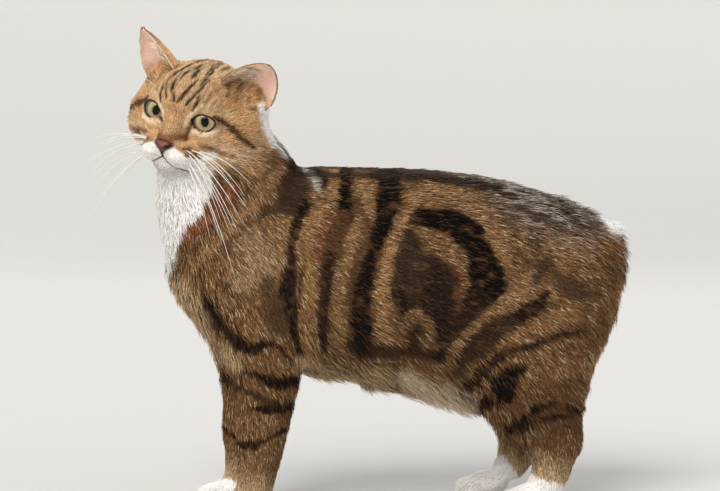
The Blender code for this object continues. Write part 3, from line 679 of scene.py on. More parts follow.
    def _feet(self, points: Array, colour: Array) -> Array:
        """White socks with a ragged edge, higher on the hind feet, highest on the far one.

        Args:
            points: rows in the cat's frame.
            colour: the colours so far.

        Returns:
            Rows of colour.
        """
        x, y, z = points.T
        hind, far = x > 0.0, y > 0.0
        top = np.where(hind, np.where(far, 33.0, 23.0), np.where(far, 19.0, 16.0))
        steep = np.clip((111.0 - x) * 1.35, -20.0, 14.0)
        top = top + np.where(hind & far, steep, (np.where(hind, 125, -112) - x) * 0.25)
        ragged = cloud(points, 4.0, 14) * 2.5
        colour = Tone.BEIGE.over(colour, 0.75 * (1.0 - rise(z, top, top + 30.0)))
        return Tone.WHITE.over(colour, 1.0 - rise(z + ragged, top - 2.5, top + 2.5))


MARKINGS = Markings()


@dataclass(frozen=True)
class Spot:
    """A named place of the body and what the coat is like there."""

    place: tuple[float, float, float]
    length: float
    lift: float
    depth: float
    flow: tuple[float, float, float] = (0.0, 0.0, 0.0)
    reach: float = 40.0


BODY_SPOTS: dict[str, Spot] = {
    "withers": Spot((-88, 0, 270), 9, 18, 2.8, (1, 0, -0.12)),
    "middle_back": Spot((0, 0, 271), 9, 16, 2.6, (1, 0, -0.03)),
    "loin": Spot((90, 0, 263), 12, 18, 3.4, (1, 0, -0.12)),
    "rump_top": Spot((160, 0, 243), 18, 24, 5.5, (1, 0, -0.5)),
    "rump_end": Spot((203, 0, 200), 15, 46, 5.5, (0.6, 0, -1)),
    "seat": Spot((192, 20, 160), 13, 42, 4.8, (0.45, 0.1, -1)),
    "shoulder": Spot((-98, 56, 190), 8.5, 17, 2.5, (0.55, 0, -0.85)),
    "blade": Spot((-80, 50, 240), 8.5, 17, 2.5, (0.8, 0, -0.5)),
    "ribs": Spot((-20, 65, 185), 8.5, 18, 2.6, (1, 0, -0.4)),
    "flank": Spot((60, 62, 175), 9, 18, 2.8, (1, 0, -0.35)),
    "haunch": Spot((135, 60, 175), 9.5, 18, 3.0, (0.9, 0, -0.55)),
    "thigh": Spot((122, 58, 110), 9, 19, 2.8, (0.65, 0, -0.8)),
    "thigh_rear": Spot((162, 45, 110), 11, 34, 3.8, (0.5, 0, -0.9)),
    "belly_front": Spot((-45, 25, 100), 18, 50, 6.0, (0.7, 0.0, -0.75)),
    "belly_rear": Spot((50, 25, 78), 24, 52, 8.0, (0.7, 0.0, -0.8)),
    "belly_side": Spot((0, 58, 115), 12, 20, 4.2, (0.75, 0.0, -0.7)),
    "groin": Spot((88, 30, 84), 15, 34, 5.5, (0.5, 0, -0.9)),
    "breast": Spot((-158, 0, 190), 15, 33, 5.0, (0.2, 0.1, -1)),
    "breast_low": Spot((-142, 10, 145), 17, 36, 5.5, (0.5, 0.0, -0.9)),
    "between_legs": Spot((-110, 8, 118), 13, 24, 4.2, (0.8, 0.0, -0.6)),
    "elbow": Spot((-92, 50, 125), 10, 20, 3.0, (0.4, 0, -0.95)),
    "forearm": Spot((-101, 48, 80), 7, 15, 1.9, (0.2, 0, -1), 30),
    "wrist": Spot((-106, 45, 36), 5.5, 13, 1.3, (0.0, 0, -1), 24),
    "fore_foot": Spot((-125, 40, 10), 3.6, 11, 0.8, (-1, 0, -0.35), 22),
    "fore_heel": Spot((-98, 40, 10), 3.6, 11, 0.8, (-0.1, 0, -1), 16),
    "hock": Spot((134, 48, 48), 6.5, 15, 1.6, (0.1, 0, -1), 26),
    "hind_foot": Spot((106, 44, 10), 3.6, 11, 0.8, (-1, 0, -0.35), 22),
    "hind_heel": Spot((134, 44, 12), 4.5, 11, 1.0, (-0.1, 0, -1), 16),
    "neck_side": Spot((-118, 48, 235), 11, 19, 3.6, (0.5, 0.0, -0.9)),
    "nape": Spot((-92, 0, 300), 10, 20, 3.2, (0.7, 0, -0.7)),
    "throat": Spot((-172, 0, 238), 10, 18, 3.4, (0.1, 0.1, -1)),
}

HEAD_SPOTS: dict[str, Spot] = {
    "crown": Spot((0, 0, 40), 6.5, 14, 1.7, reach=26),
    "forehead": Spot((28, 0, 24), 5, 13, 1.2, reach=20),
    "brow": Spot((30, 22, 18), 4.2, 13, 0.9, reach=14),
    "ear_front": Spot((12, 40, 24), 4.2, 10, 1.0, reach=12),
    "bridge": Spot((40, 0, -4), 2.8, 10, 0.6, reach=13),
    "eye": Spot((33, 24, 2), 2.2, 13, 0.3, reach=13),
    "temple": Spot((8, 42, 6), 6.5, 15, 1.8, reach=22),
    "cheek": Spot((16, 42, -14), 7.5, 16, 2.3, reach=24),
    "ruff": Spot((-4, 50, -28), 12, 24, 3.8, reach=26),
    "under_jaw": Spot((12, 14, -46), 7, 15, 2.2, reach=22),
    "muzzle": Spot((46, 12, -24), 2.8, 12, 0.6, reach=15),
    "muzzle_rear": Spot((34, 26, -24), 4.4, 13, 1.1, reach=15),
    "nose": Spot((53, 0, -15), 1.4, 9, 0.2, reach=8),
    "chin": Spot((42, 0, -38), 2.8, 12, 0.6, reach=14),
    "occiput": Spot((-40, 0, 8), 9, 17, 2.6, reach=32),
    "behind_ear": Spot((-22, 42, 14), 7.5, 16, 2.2, reach=24),
}


@dataclass
class Coat:
    """What the coat is like at points of the skin."""

    length: Array
    lift: Array
    depth: Array
    flow: Array

    @staticmethod
    def at(points: Array) -> "Coat":
        """Blends the named spots.

        Each spot weighs (reach / distance) to the fourth power. Body spots are mirrored in the
        middle of the body and head spots in the middle of the head. Hair on the head grows away
        from the nose.

        Args:
            points: rows in the cat's frame.

        Returns:
            The coat's values, one row a point.
        """
        own = HEAD.into(points)
        across = np.where(points[:, 1] < 0.0, -1.0, 1.0)
        outward = unit(own - (NOSE_MIDDLE - np.array((6.0, 0.0, 0.0)))) @ HEAD.turn.T
        total = np.zeros(len(points))
        values, flow = np.zeros((len(points), 3)), np.zeros((len(points), 3))
        head = head_share(points)
        groups = ((BODY_SPOTS, mirrored(points), 1.0 - head), (HEAD_SPOTS, mirrored(own), head))
        for spots, places, own_share in groups:
            for spot in spots.values():
                gap = np.linalg.norm(places - np.array(spot.place), axis=1)
                weight = (spot.reach / (gap + 3.0)) ** 4 * (0.02 + own_share)
                values += weight[:, None] * np.array((spot.length, spot.lift, spot.depth))
                total += weight
                if spots is BODY_SPOTS:
                    lie = np.tile(unit(np.array(spot.flow, float)), (len(points), 1))
                    lie[:, 1] *= across
                    flow += weight[:, None] * lie
                else:
                    flow += weight[:, None] * outward
        values /= total[:, None]
        return Coat(values[:, 0], np.radians(values[:, 1]), values[:, 2], unit(flow))


def triangles_of(mesh: Mesh) -> tuple[Array, Array]:
    """A mesh's points, and its triangles as rows of three point numbers.

    Args:
        mesh: any mesh.

    Returns:
        Rows of x, y, z, and rows of point numbers.
    """
    mesh.calc_loop_triangles()
    points = np.empty(len(mesh.vertices) * 3)
    mesh.vertices.foreach_get("co", points)
    faces = np.empty(len(mesh.loop_triangles) * 3, np.int32)
    mesh.loop_triangles.foreach_get("vertices", faces)
    return points.reshape(-1, 3), faces.reshape(-1, 3)


def placed(name: str, data: ID) -> Object:
    """A new object of the scene.

    Args:
        name: its name.
        data: its mesh, light or camera.

    Returns:
        The object.
    """
    thing = bpy.data.objects.new(name, data)
    bpy.context.scene.collection.objects.link(thing)
    return thing


def new_piece(name: str, points: Array, faces: Array, finish: Material,
              colours: Array | None = None, marks: Array | None = None, map_name: str = "OFBake",
              normals: Array | None = None) -> Object:
    """A smooth mesh object at the origin, from arrays in the cat's frame.

    Args:
        name: the object's name.
        points: rows of x, y, z in millimetres.
        faces: triangles as rows of three point numbers, facing out.
        finish: its material.
        colours: linear red, green and blue a point, kept as the attribute coat.
        marks: a place on a map a point.
        map_name: that map's name.
        normals: directions to shade with, a corner of each triangle.

    Returns:
        The object, linked to the scene and riding on the body.
    """
    mesh = bpy.data.meshes.new(name)
    mesh.vertices.add(len(points))
    mesh.vertices.foreach_set("co", to_model(points).astype(np.float32).ravel())
    mesh.loops.add(faces.size)
    mesh.loops.foreach_set("vertex_index", faces.astype(np.int32).ravel())
    mesh.polygons.add(len(faces))
    mesh.polygons.foreach_set("loop_start", np.arange(0, faces.size, 3, dtype=np.int32))
    mesh.polygons.foreach_set("use_smooth", np.ones(len(faces), bool))
    if marks is not None:
        layer = mesh.uv_layers.new(name=map_name)
        layer.uv.foreach_set("vector", marks[faces.ravel()].astype(np.float32).ravel())
    if colours is not None:
        layer = mesh.color_attributes.new("coat", "FLOAT_COLOR", "POINT")
        shade = np.concatenate([colours, np.ones((len(colours), 1))], axis=1)
        layer.data.foreach_set("color", shade.astype(np.float32).ravel())
    mesh.update(calc_edges=True)
    if normals is not None:
        layer = mesh.attributes.new("custom_normal", "FLOAT_VECTOR", "CORNER")
        layer.data.foreach_set("vector", normals.astype(np.float32).ravel())
        mesh.update()
    mesh.materials.append(finish)
    piece = placed(name, mesh)
    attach(piece, "root")
    return piece


def faced_out(points: Array, faces: Array) -> Array:
    """The triangles of a closed surface, turned round if their signed volume is below zero.

    Args:
        points: rows of x, y, z.
        faces: rows of three point numbers.

    Returns:
        The triangles, facing out.
    """
    a, b, c = (points[faces[:, i]] for i in range(3))
    middle = points.mean(axis=0)
    volume = np.sum(np.cross(a - middle, b - middle) * (c - middle))
    return faces if volume > 0.0 else faces[:, ::-1]


def ring_faces(rows: int, around: int, joined: bool = False) -> Array:
    """Two triangles for each cell between rings of points.

    Args:
        rows: how many rings.
        around: points in a ring.
        joined: whether the last ring meets the first.

    Returns:
        Rows of three point numbers.
    """
    cells = rows if joined else rows - 1
    row, column = np.meshgrid(np.arange(cells), np.arange(around), indexing="ij")
    here, below = row * around, (row + 1) % rows * around
    after = (column + 1) % around
    first = np.stack([here + column, here + after, below + after], -1)
    second = np.stack([here + column, below + after, below + column], -1)
    return np.concatenate([first.reshape(-1, 3), second.reshape(-1, 3)])


def closed_tube(rings: Array) -> tuple[Array, Array]:
    """A closed surface through rings of points, with a fan over each end.

    Args:
        rings: an array of ring, point round the ring, and x, y, z.

    Returns:
        Points and outward triangles.
    """
    count, around = rings.shape[:2]
    hubs = rings[[0, -1]].mean(axis=1)
    points = np.concatenate([rings.reshape(-1, 3), hubs])
    ring = np.arange(around)
    turned, last = (ring + 1) % around, (count - 1) * around
    hub = np.full(around, count * around)
    start = np.stack([turned, ring, hub], axis=1)
    end = np.stack([last + ring, last + turned, hub + 1], axis=1)
    return points, faced_out(points, np.concatenate([ring_faces(count, around), start, end]))


def strand(path: Array, thick: Array, around: int) -> tuple[Array, Array]:
    """A tube along a path: circles of the given thickness, square to the path.

    Args:
        path: rows of x, y, z.
        thick: the radius at each row.
        around: points round each circle.

    Returns:
        Points and outward triangles.
    """
    along = unit(np.gradient(path, axis=0))
    guide = np.tile(np.array((0.12, 0.2, 0.97)), (len(path), 1))
    side = unit(np.cross(along, guide))
    over = np.cross(side, along)
    angle = np.linspace(0.0, FULL_TURN, around, endpoint=False)[None, :, None]
    ring = side[:, None] * np.cos(angle) + over[:, None] * np.sin(angle)
    return closed_tube(path[:, None] + ring * np.asarray(thick)[:, None, None])


def curve_through(knots: Array, count: int) -> Array:
    """A smooth line through knots: a cubic between each two, whose slopes follow their neighbours.

    Args:
        knots: rows of x, y, z.
        count: how many points.

    Returns:
        Rows at even steps of the cubics' parameter, ends included.
    """
    padded = np.concatenate([2 * knots[:1] - knots[1:2], knots, 2 * knots[-1:] - knots[-2:-1]])
    place = np.linspace(0.0, len(knots) - 1.0001, count)
    number = place.astype(int)
    t = (place - number)[:, None]
    a, b, c, d = (padded[number + i] for i in range(4))
    square, cube = 2 * a - 5 * b + 4 * c - d, 3 * b - a - 3 * c + d
    return 0.5 * (2 * b + (c - a) * t + square * t**2 + cube * t**3)


def globe(rings: int, around: int, pole: float) -> tuple[Array, Array, Array, Array]:
    """Directions from a middle, as rings about an axis.

    Args:
        rings: how many rings from pole to pole.
        around: directions in a ring.
        pole: radians from the axis to the first ring.

    Returns:
        The angle off the axis, and the share along the axis, to its side and up.
    """
    polar = np.linspace(pole, math.pi - pole, rings)[:, None]
    turn = np.linspace(0.0, FULL_TURN, around, endpoint=False)[None, :]
    along = np.cos(polar) * np.ones_like(turn)
    return polar, along, np.sin(polar) * np.cos(turn), np.sin(polar) * np.sin(turn)


def ball(centre: Array, radius: float, around: int) -> tuple[Array, Array]:
    """A sphere about a centre, of rings from pole to pole."""
    _, along, side, over = globe(around // 2 + 1, around, 0.02)
    return closed_tube(centre + radius * np.stack([side, over, along], axis=-1))


class Graph:
    """A material whose nodes are added one at a time, each with what feeds it."""

    def __init__(self, name: str) -> None:
        """Starts the material with its one shader.

        Args:
            name: the material's name.
        """
        self.made = bpy.data.materials.new(name)
        self.made.use_nodes = True
        self.nodes = self.made.node_tree.nodes

    def feed(self, node: Node, feeds: dict[str | int, object]) -> None:
        """Gives each named input of a node its value, or a link from another node's output.

        Args:
            node: the node.
            feeds: what each input takes, by its name or number.
        """
        for name, value in feeds.items():
            if isinstance(value, NodeSocket):
                self.made.node_tree.links.new(value, node.inputs[name])
            else:
                node.inputs[name].default_value = value

    def add(self, kind: str, out: str, feeds: dict[str | int, object] | None = None,
            **settings: str) -> NodeSocket:
        """One more node.

        Args:
            kind: its type, without the words before it.
            out: the output to give back.
            feeds: for each input a value, or the output that it reads.
            settings: the node's own settings.

        Returns:
            That output.
        """
        node = self.nodes.new(f"ShaderNode{kind}")
        for name, value in settings.items():
            setattr(node, name, value)
        self.feed(node, feeds or {})
        return node.outputs[out]

    def ramp(self, share: NodeSocket, stops: dict[float, Rgb]) -> NodeSocket:
        """A ramp through colours given at shares from 0 to 1.

        Args:
            share: the output that picks the place on it.
            stops: the colour at each place.

        Returns:
            Its colour.
        """
        node = self.nodes.new("ShaderNodeValToRGB")
        self.feed(node, {"Fac": share})
        elements = node.color_ramp.elements
        for number, (position, colour) in enumerate(stops.items()):
            stop = elements[number] if number < 2 else elements.new(position)
            stop.position = position
            stop.color = (*linear(*colour), 1.0)
        return node.outputs["Color"]

    def finish(self, feeds: dict[str | int, object]) -> Material:
        """The material, once its shader is fed."""
        self.feed(self.nodes["Principled BSDF"], feeds)
        return self.made


@dataclass(frozen=True)
class FurFinish:
    """Hair: the colour of the markings with fine variation, soft gloss."""

    name: str = "tabby_fur"
    roughness: float = 0.75
    gloss: float = 0.1
    variation: float = 0.34
    grain: float = 900.0
    steady: float = 0.97

    def material(self) -> Material:
        """Builds the node tree: the attribute coat, darkened by fine noise, pale hair less.

        Returns:
            The material.
        """
        graph = Graph(self.name)
        coat = graph.add("Attribute", "Color", attribute_name="coat")
        place = graph.add("TexCoord", "Object")
        noise = graph.add("TexNoise", "Fac", {"Vector": place, "Scale": self.grain, "Detail": 1.0})
        grey = graph.add("RGBToBW", "Val", {"Color": coat})
        least = graph.add("MapRange", "Result", {
            "Value": grey, "From Min": 0.2, "From Max": 0.7,
            "To Min": 1.0 - self.variation, "To Max": self.steady,
        })
        spread = graph.add("MapRange", "Result", {
            "Value": noise, "From Min": 0.3, "From Max": 0.7,
            "To Min": least, "To Max": 1.0 + self.variation,
        })
        tint = graph.add("VectorMath", "Vector", {0: coat, "Scale": spread}, operation="SCALE")
        return graph.finish({
            "Base Color": tint, "Roughness": self.roughness, "Specular IOR Level": self.gloss,
        })


@dataclass(frozen=True)
class HideFinish:
    """Bare skin: one colour broken up by noise, with a pebbled or creased bump."""

    name: str
    colour: Rgb
    dark: Rgb
    roughness: float = 0.5
    pebble: float = 900.0
    relief: float = 0.35
    painted: bool = False
    gloss: float = 0.4
    patches: float = 220.0
    height: float = 0.0004

    def material(self) -> Material:
        """Builds the node tree: noise between two colours, cell noise into the bump.

        A painted one multiplies them by the attribute coat.

        Returns:
            The material.
        """
        graph = Graph(self.name)
        place = graph.add("TexCoord", "Object")
        noise = graph.add("TexNoise", "Fac", {"Vector": place, "Scale": self.patches, "Detail": 3.0})
        tint = graph.ramp(noise, {0.38: self.dark, 0.6: self.colour})
        if self.painted:
            coat = graph.add("Attribute", "Color", attribute_name="coat")
            tint = graph.add("VectorMath", "Vector", {0: tint, 1: coat}, operation="MULTIPLY")
        cells = graph.add("TexVoronoi", "Distance", {"Vector": place, "Scale": self.pebble})
        bump = graph.add("Bump", "Normal", {
            "Height": cells, "Strength": self.relief, "Distance": self.height,
        })
        return graph.finish({
            "Base Color": tint, "Normal": bump,
            "Roughness": self.roughness, "Specular IOR Level": self.gloss,
        })


@dataclass(frozen=True)
class EyeFinish:
    """A wet eye: dark oval pupil, streaked pale green iris and a black rim, under clear gloss."""

    name: str = "cat_eye"
    pupil: tuple[float, float] = (0.235, 0.335)
    iris: float = 0.74
    inner: Rgb = (122, 108, 68)
    outer: Rgb = (192, 178, 138)
    edge: Rgb = (104, 88, 60)
    black: Rgb = (9, 6, 4)
    rays: float = 46.0

    def material(self) -> Material:
        """Builds the node tree on the eye's own flat map, whose middle is the look's axis.

        Returns:
            The material.
        """
        graph = Graph(self.name)
        flat = graph.add("UVMap", "UV", uv_map="EyeMap")
        centre = graph.add("Mapping", "Vector", {
            "Vector": flat, "Location": (-1.0, -1.0, 0.0), "Scale": (2.0, 2.0, 1.0),
        })
        radius = graph.add("VectorMath", "Value", {0: centre}, operation="LENGTH")
        squeezed = graph.add("Mapping", "Vector", {
            "Vector": centre, "Scale": (1.0 / self.pupil[0], 1.0 / self.pupil[1], 1.0),
        })
        oval = graph.add("VectorMath", "Value", {0: squeezed}, operation="LENGTH")
        turn = graph.add("TexGradient", "Fac", {"Vector": centre}, gradient_type="RADIAL")
        spin = graph.add("Math", "Value", {0: turn, 1: self.rays}, operation="MULTIPLY")
        rays = graph.add("CombineXYZ", "Vector", {"X": spin, "Y": radius})
        noise = graph.add("TexNoise", "Fac", {"Vector": rays, "Scale": 1.6, "Detail": 4.0})
        streak = graph.add("Math", "Value", {0: noise, 1: 0.34, 2: radius}, operation="MULTIPLY_ADD")
        iris = graph.ramp(streak, {0.40: self.inner, 0.66: self.outer, 0.84: self.edge})
        limit = graph.add("MapRange", "Result", {
            "Value": radius, "From Min": self.iris, "From Max": self.iris + 0.045,
        })
        hole = graph.add("MapRange", "Result", {"Value": oval, "From Min": 1.08, "From Max": 0.94})
        black = graph.add("Math", "Value", {0: limit, 1: hole}, operation="MAXIMUM")
        colour = graph.add("Mix", "Result", {
            "Factor": black, "A": iris, "B": (*linear(*self.black), 1.0),
        }, data_type="RGBA")
        return graph.finish({
            "Base Color": colour, "Roughness": 0.3, "Specular IOR Level": 0.0,
            "Coat Weight": 0.45, "Coat Roughness": 0.02,
        })


FLESH_NODES = (
    "torso", "neck", "head", "jaw", "nose", "tail_stub", "eye_left", "eye_right",
    "foreleg_left", "foreleg_right", "fore_paw_left", "fore_paw_right",
    "hindleg_left", "hindleg_right", "hind_paw_left", "hind_paw_right",
    "whisker_pad_left", "whisker_pad_right",
)


@dataclass
class Skin:
    """The body's one surface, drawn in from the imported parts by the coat's depth."""

    voxel: float = 2.15
    push: float = 0.42
    pad_centre: tuple[float, float, float] = (38.0, 18.0, -24.0)
    pad_radius: float = 9.9
    lid_proud: float = 0.8
    socket: float = 1.6
    bowl_reach: float = 17.0
    bowl_depth: float = 8.0
    groove: tuple[float, float] = (1.4, 1.3)
    seat: float = 1.2
    sole: float = 0.15
    # Factor on the skin's colour: painted shade, so the skin seen between the tufts reads darker.
    shade: float = 0.72
    points: Array = field(default_factory=lambda: np.zeros((0, 3)))
    faces: Array = field(default_factory=lambda: np.zeros((0, 3), np.int32))
    edges: Array = field(default_factory=lambda: np.zeros((0, 2), np.int32))
    normals: Array = field(default_factory=lambda: np.zeros((0, 3)))
    coat: Coat | None = None

    def build(self) -> None:
        """Joins, remeshes, eases, draws in and carves the surface."""
        self._take(self._finer_face(self._remeshed(self._joined())))
        self._ease()
        self._draw_in()
        self._carve()
        self._measure()

    def _joined(self) -> Mesh:
        """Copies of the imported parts, each pushed out a little so that neighbours overlap.

        Returns:
            One mesh in the cat's frame, in millimetres.
        """
        whole = bmesh.new()
        for name in FLESH_NODES:
            part = bmesh.new()
            part.from_mesh(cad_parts[name].data)
            bmesh.ops.remove_doubles(part, verts=part.verts, dist=1e-6)
            if name.startswith("whisker_pad"):
                self._shave(part, 1 if name.endswith("left") else -1)
            bmesh.ops.triangulate(part, faces=part.faces)
            points = np.array([v.co for v in part.verts]) / MM - ORIGIN
            faces = np.array([[v.index for v in f.verts] for f in part.faces])
            part.free()
            add_surface(whole, points + self.push * vertex_normals(points, faces), faces)
        for side in (-1, 1):
            for centre in EARS[side].root_line(9):
                add_surface(whole, *ball(centre, 4.6, 12))
        mesh = bpy.data.meshes.new("flesh")
        whole.to_mesh(mesh)
        whole.free()
        return mesh

    def _shave(self, part: BMesh, side: int) -> None:
        """Takes the whiskers off a lip pad and closes their roots.

        Args:
            part: the pad, in the model's frame.
            side: 1 for the left and -1 for the right.
        """
        centre = HEAD.out(np.array(self.pad_centre) * np.array((1.0, side, 1.0)))
        away = np.array([v.co for v in part.verts]) / MM - ORIGIN - centre
        beyond = np.linalg.norm(away, axis=1) > self.pad_radius
        far = [v for v, out in zip(part.verts, beyond) if out]
        bmesh.ops.delete(part, geom=far, context="VERTS")
        open_edges = [e for e in part.edges if e.is_boundary]
        bmesh.ops.holes_fill(part, edges=open_edges, sides=0)
        part.verts.index_update()

    def _remeshed(self, mesh: Mesh) -> Mesh:
        """One outer surface of even squares.

        Args:
            mesh: the joined parts.

        Returns:
            The new mesh.
        """
        thing = placed("flesh", mesh)
        remesh = thing.modifiers.new("even", "REMESH")
        remesh.mode = "VOXEL"
        remesh.voxel_size = self.voxel
        graph = bpy.context.evaluated_depsgraph_get()
        made = bpy.data.meshes.new_from_object(thing.evaluated_get(graph))
        bpy.data.objects.remove(thing, do_unlink=True)
        return made

    def _finer_face(self, mesh: Mesh) -> Mesh:
        """Splits the squares of the face in four, for lids, lips and nostrils.

        Args:
            mesh: the even surface, which is changed.

        Returns:
            The same mesh, in triangles.
        """
        shell = bmesh.new()
        shell.from_mesh(mesh)
        shell.faces.ensure_lookup_table()
        centres = HEAD.into(np.array([f.calc_center_median() for f in shell.faces]))
        low, high = np.array(FACE_BOX)
        near = np.all((centres > low) & (centres < high), axis=1)
        edges = {e for number in np.flatnonzero(near) for e in shell.faces[number].edges}
        bmesh.ops.subdivide_edges(shell, edges=list(edges), cuts=1, use_grid_fill=True)
        bmesh.ops.triangulate(shell, faces=shell.faces)
        shell.to_mesh(mesh)
        shell.free()
        return mesh

    def _take(self, mesh: Mesh) -> None:
        """Keeps the mesh as arrays.

        Args:
            mesh: the surface, which is removed.
        """
        self.points, self.faces = triangles_of(mesh)
        ends = np.concatenate([self.faces[:, [0, 1]], self.faces[:, [1, 2]], self.faces[:, [2, 0]]])
        self.edges = np.unique(np.sort(ends, axis=1), axis=0)
        bpy.data.meshes.remove(mesh)

    def spread(self, values: Array, share: Array, times: int) -> Array:
        """Moves each point's value towards its neighbours' mean, many times.

        Args:
            values: rows, one a point.
            share: how far to move, one a point.
            times: how often.

        Returns:
            The eased rows.
        """
        count = len(values)
        a, b = self.edges.T
        degree = np.maximum(np.bincount(a, minlength=count) + np.bincount(b, minlength=count), 1)
        for _ in range(times):
            sums = [np.bincount(a, v[b], count) + np.bincount(b, v[a], count) for v in values.T]
            mean = np.stack(sums, axis=1) / degree[:, None]
            values = values + (mean - values) * share[:, None]
        return values

    def _ease(self) -> None:
        """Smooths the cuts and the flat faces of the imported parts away, least on face and feet."""
        own = HEAD.into(self.points)
        face = rise(own[:, 0], 6.0, 26.0) * head_share(self.points)
        foot = 1.0 - rise(self.points[:, 2], 16.0, 40.0)
        share = 0.5 * (1.0 - 0.72 * np.maximum(face, foot))
        self.points = self.spread(self.points, share, 16)
        self.normals = vertex_normals(self.points, self.faces)

    def _draw_in(self) -> None:
        """Moves the surface in by the coat's depth."""
        coat = Coat.at(self.points)
        depth = self.spread(coat.depth[:, None], np.full(len(self.points), 0.5), 6)
        low = rise(self.points[:, 2], 0.5, 3.0)[:, None]
        self.points = self.points - self.normals * (depth + self.push) * low
        self.points = self.spread(self.points, np.full(len(self.points), 0.25), 2)
        self.points[:, 2] = np.maximum(self.points[:, 2], self.sole)
        self.normals = vertex_normals(self.points, self.faces)

    def _carve(self) -> None:
        """Opens the eyes, hollows the skin in front of each ear, and presses in the line of the mouth and
        a seat for the nose.
        """
        for side in (-1, 1):
            place = eye_place(side)
            own = place.into(self.points)
            edge = eye_share(own, side)
            reach = np.linalg.norm(own, axis=1)
            inside = (own[:, 0] > 0.0) & (reach < 19.0)
            beyond, depth = rise(edge, 1.25, 1.6), EYE_RADIUS - self.socket
            proud = np.maximum(reach, EYE_RADIUS + self.lid_proud) * (1.0 - beyond) + reach * beyond
            wanted = depth + (proud - depth) * rise(edge, 0.88, 1.0)
            target = own / np.maximum(reach, 1e-6)[:, None] * wanted[:, None]
            self.points = place.out(own + (target - own) * inside[:, None])
        for ear in EARS.values():
            gap = np.linalg.norm(self.points - ear.hollow(), axis=1)
            bowl = np.clip(1.0 - (gap / self.bowl_reach) ** 2, 0.0, 1.0) ** 2 * self.bowl_depth
            self.points = self.points - self.normals * bowl[:, None]
        own = HEAD.into(self.points)
        groove = np.exp(-((mouth_gap(own) / self.groove[0]) ** 2)) * self.groove[1]
        seat = (1.0 - rise(nose_share(own), 0.75, 1.1)) * self.seat
        self.points = self.points - self.normals * (groove + seat)[:, None]

    def _measure(self) -> None:
        """Works out the normals, the coat's values and the hair's lie for every point."""
        self.normals = vertex_normals(self.points, self.faces)
        self.coat = Coat.at(self.points)
        even = np.full(len(self.points), 0.5)
        flow = self.coat.flow
        for _ in range(4):
            flow = self.spread(laid(flow, self.normals), even, 3)
        self.coat.flow = laid(flow, self.normals)

    def piece(self, finish: Material) -> Object:
        """The skin as an object with the markings, darkened as painted shade where it shows between the
        tufts.

        Args:
            finish: its material.

        Returns:
            The piece.
        """
        # The markings darkened by the shade factor: painted shade in the gaps between the tufts.
        colours = MARKINGS.colour(self.points) * self.shade
        own = HEAD.into(self.points)
        bare = 1.0 - rise(nose_share(own), 0.95, 1.2)
        colours = blended(colours, linear(96, 54, 44), bare)
        for side in (-1, 1):
            place = eye_place(side).into(self.points)
            near = (place[:, 0] > 0.0) & (np.linalg.norm(place, axis=1) < EYE_REGION)
            lid = (1.0 - rise(eye_share(place, side), 1.04, 1.16)) * near
            colours = blended(colours, linear(36, 26, 20), lid)
        return new_piece("skin", self.points, self.faces, finish, colours)


def vertex_normals(points: Array, faces: Array) -> Array:
    """Unit normals of points: the sum of their triangles' cross products.

    Args:
        points: rows of x, y, z.
        faces: rows of three point numbers.

    Returns:
        One unit row a point.
    """
    a, b, c = (points[faces[:, i]] for i in range(3))
    cross = np.cross(b - a, c - a)
    total = np.zeros_like(points)
    for corner in range(3):
        for axis in range(3):
            total[:, axis] += np.bincount(faces[:, corner], cross[:, axis], len(points))
    return unit(total)


def add_surface(shell: BMesh, points: Array, faces: Array) -> None:
    """Adds triangles to a mesh that is being built.

    Args:
        shell: the mesh.
        points: rows of x, y, z.
        faces: rows of three point numbers.
    """
    mesh = bpy.data.meshes.new("part")
    mesh.from_pydata(points.tolist(), [], faces.tolist())
    shell.from_mesh(mesh)
    bpy.data.meshes.remove(mesh)


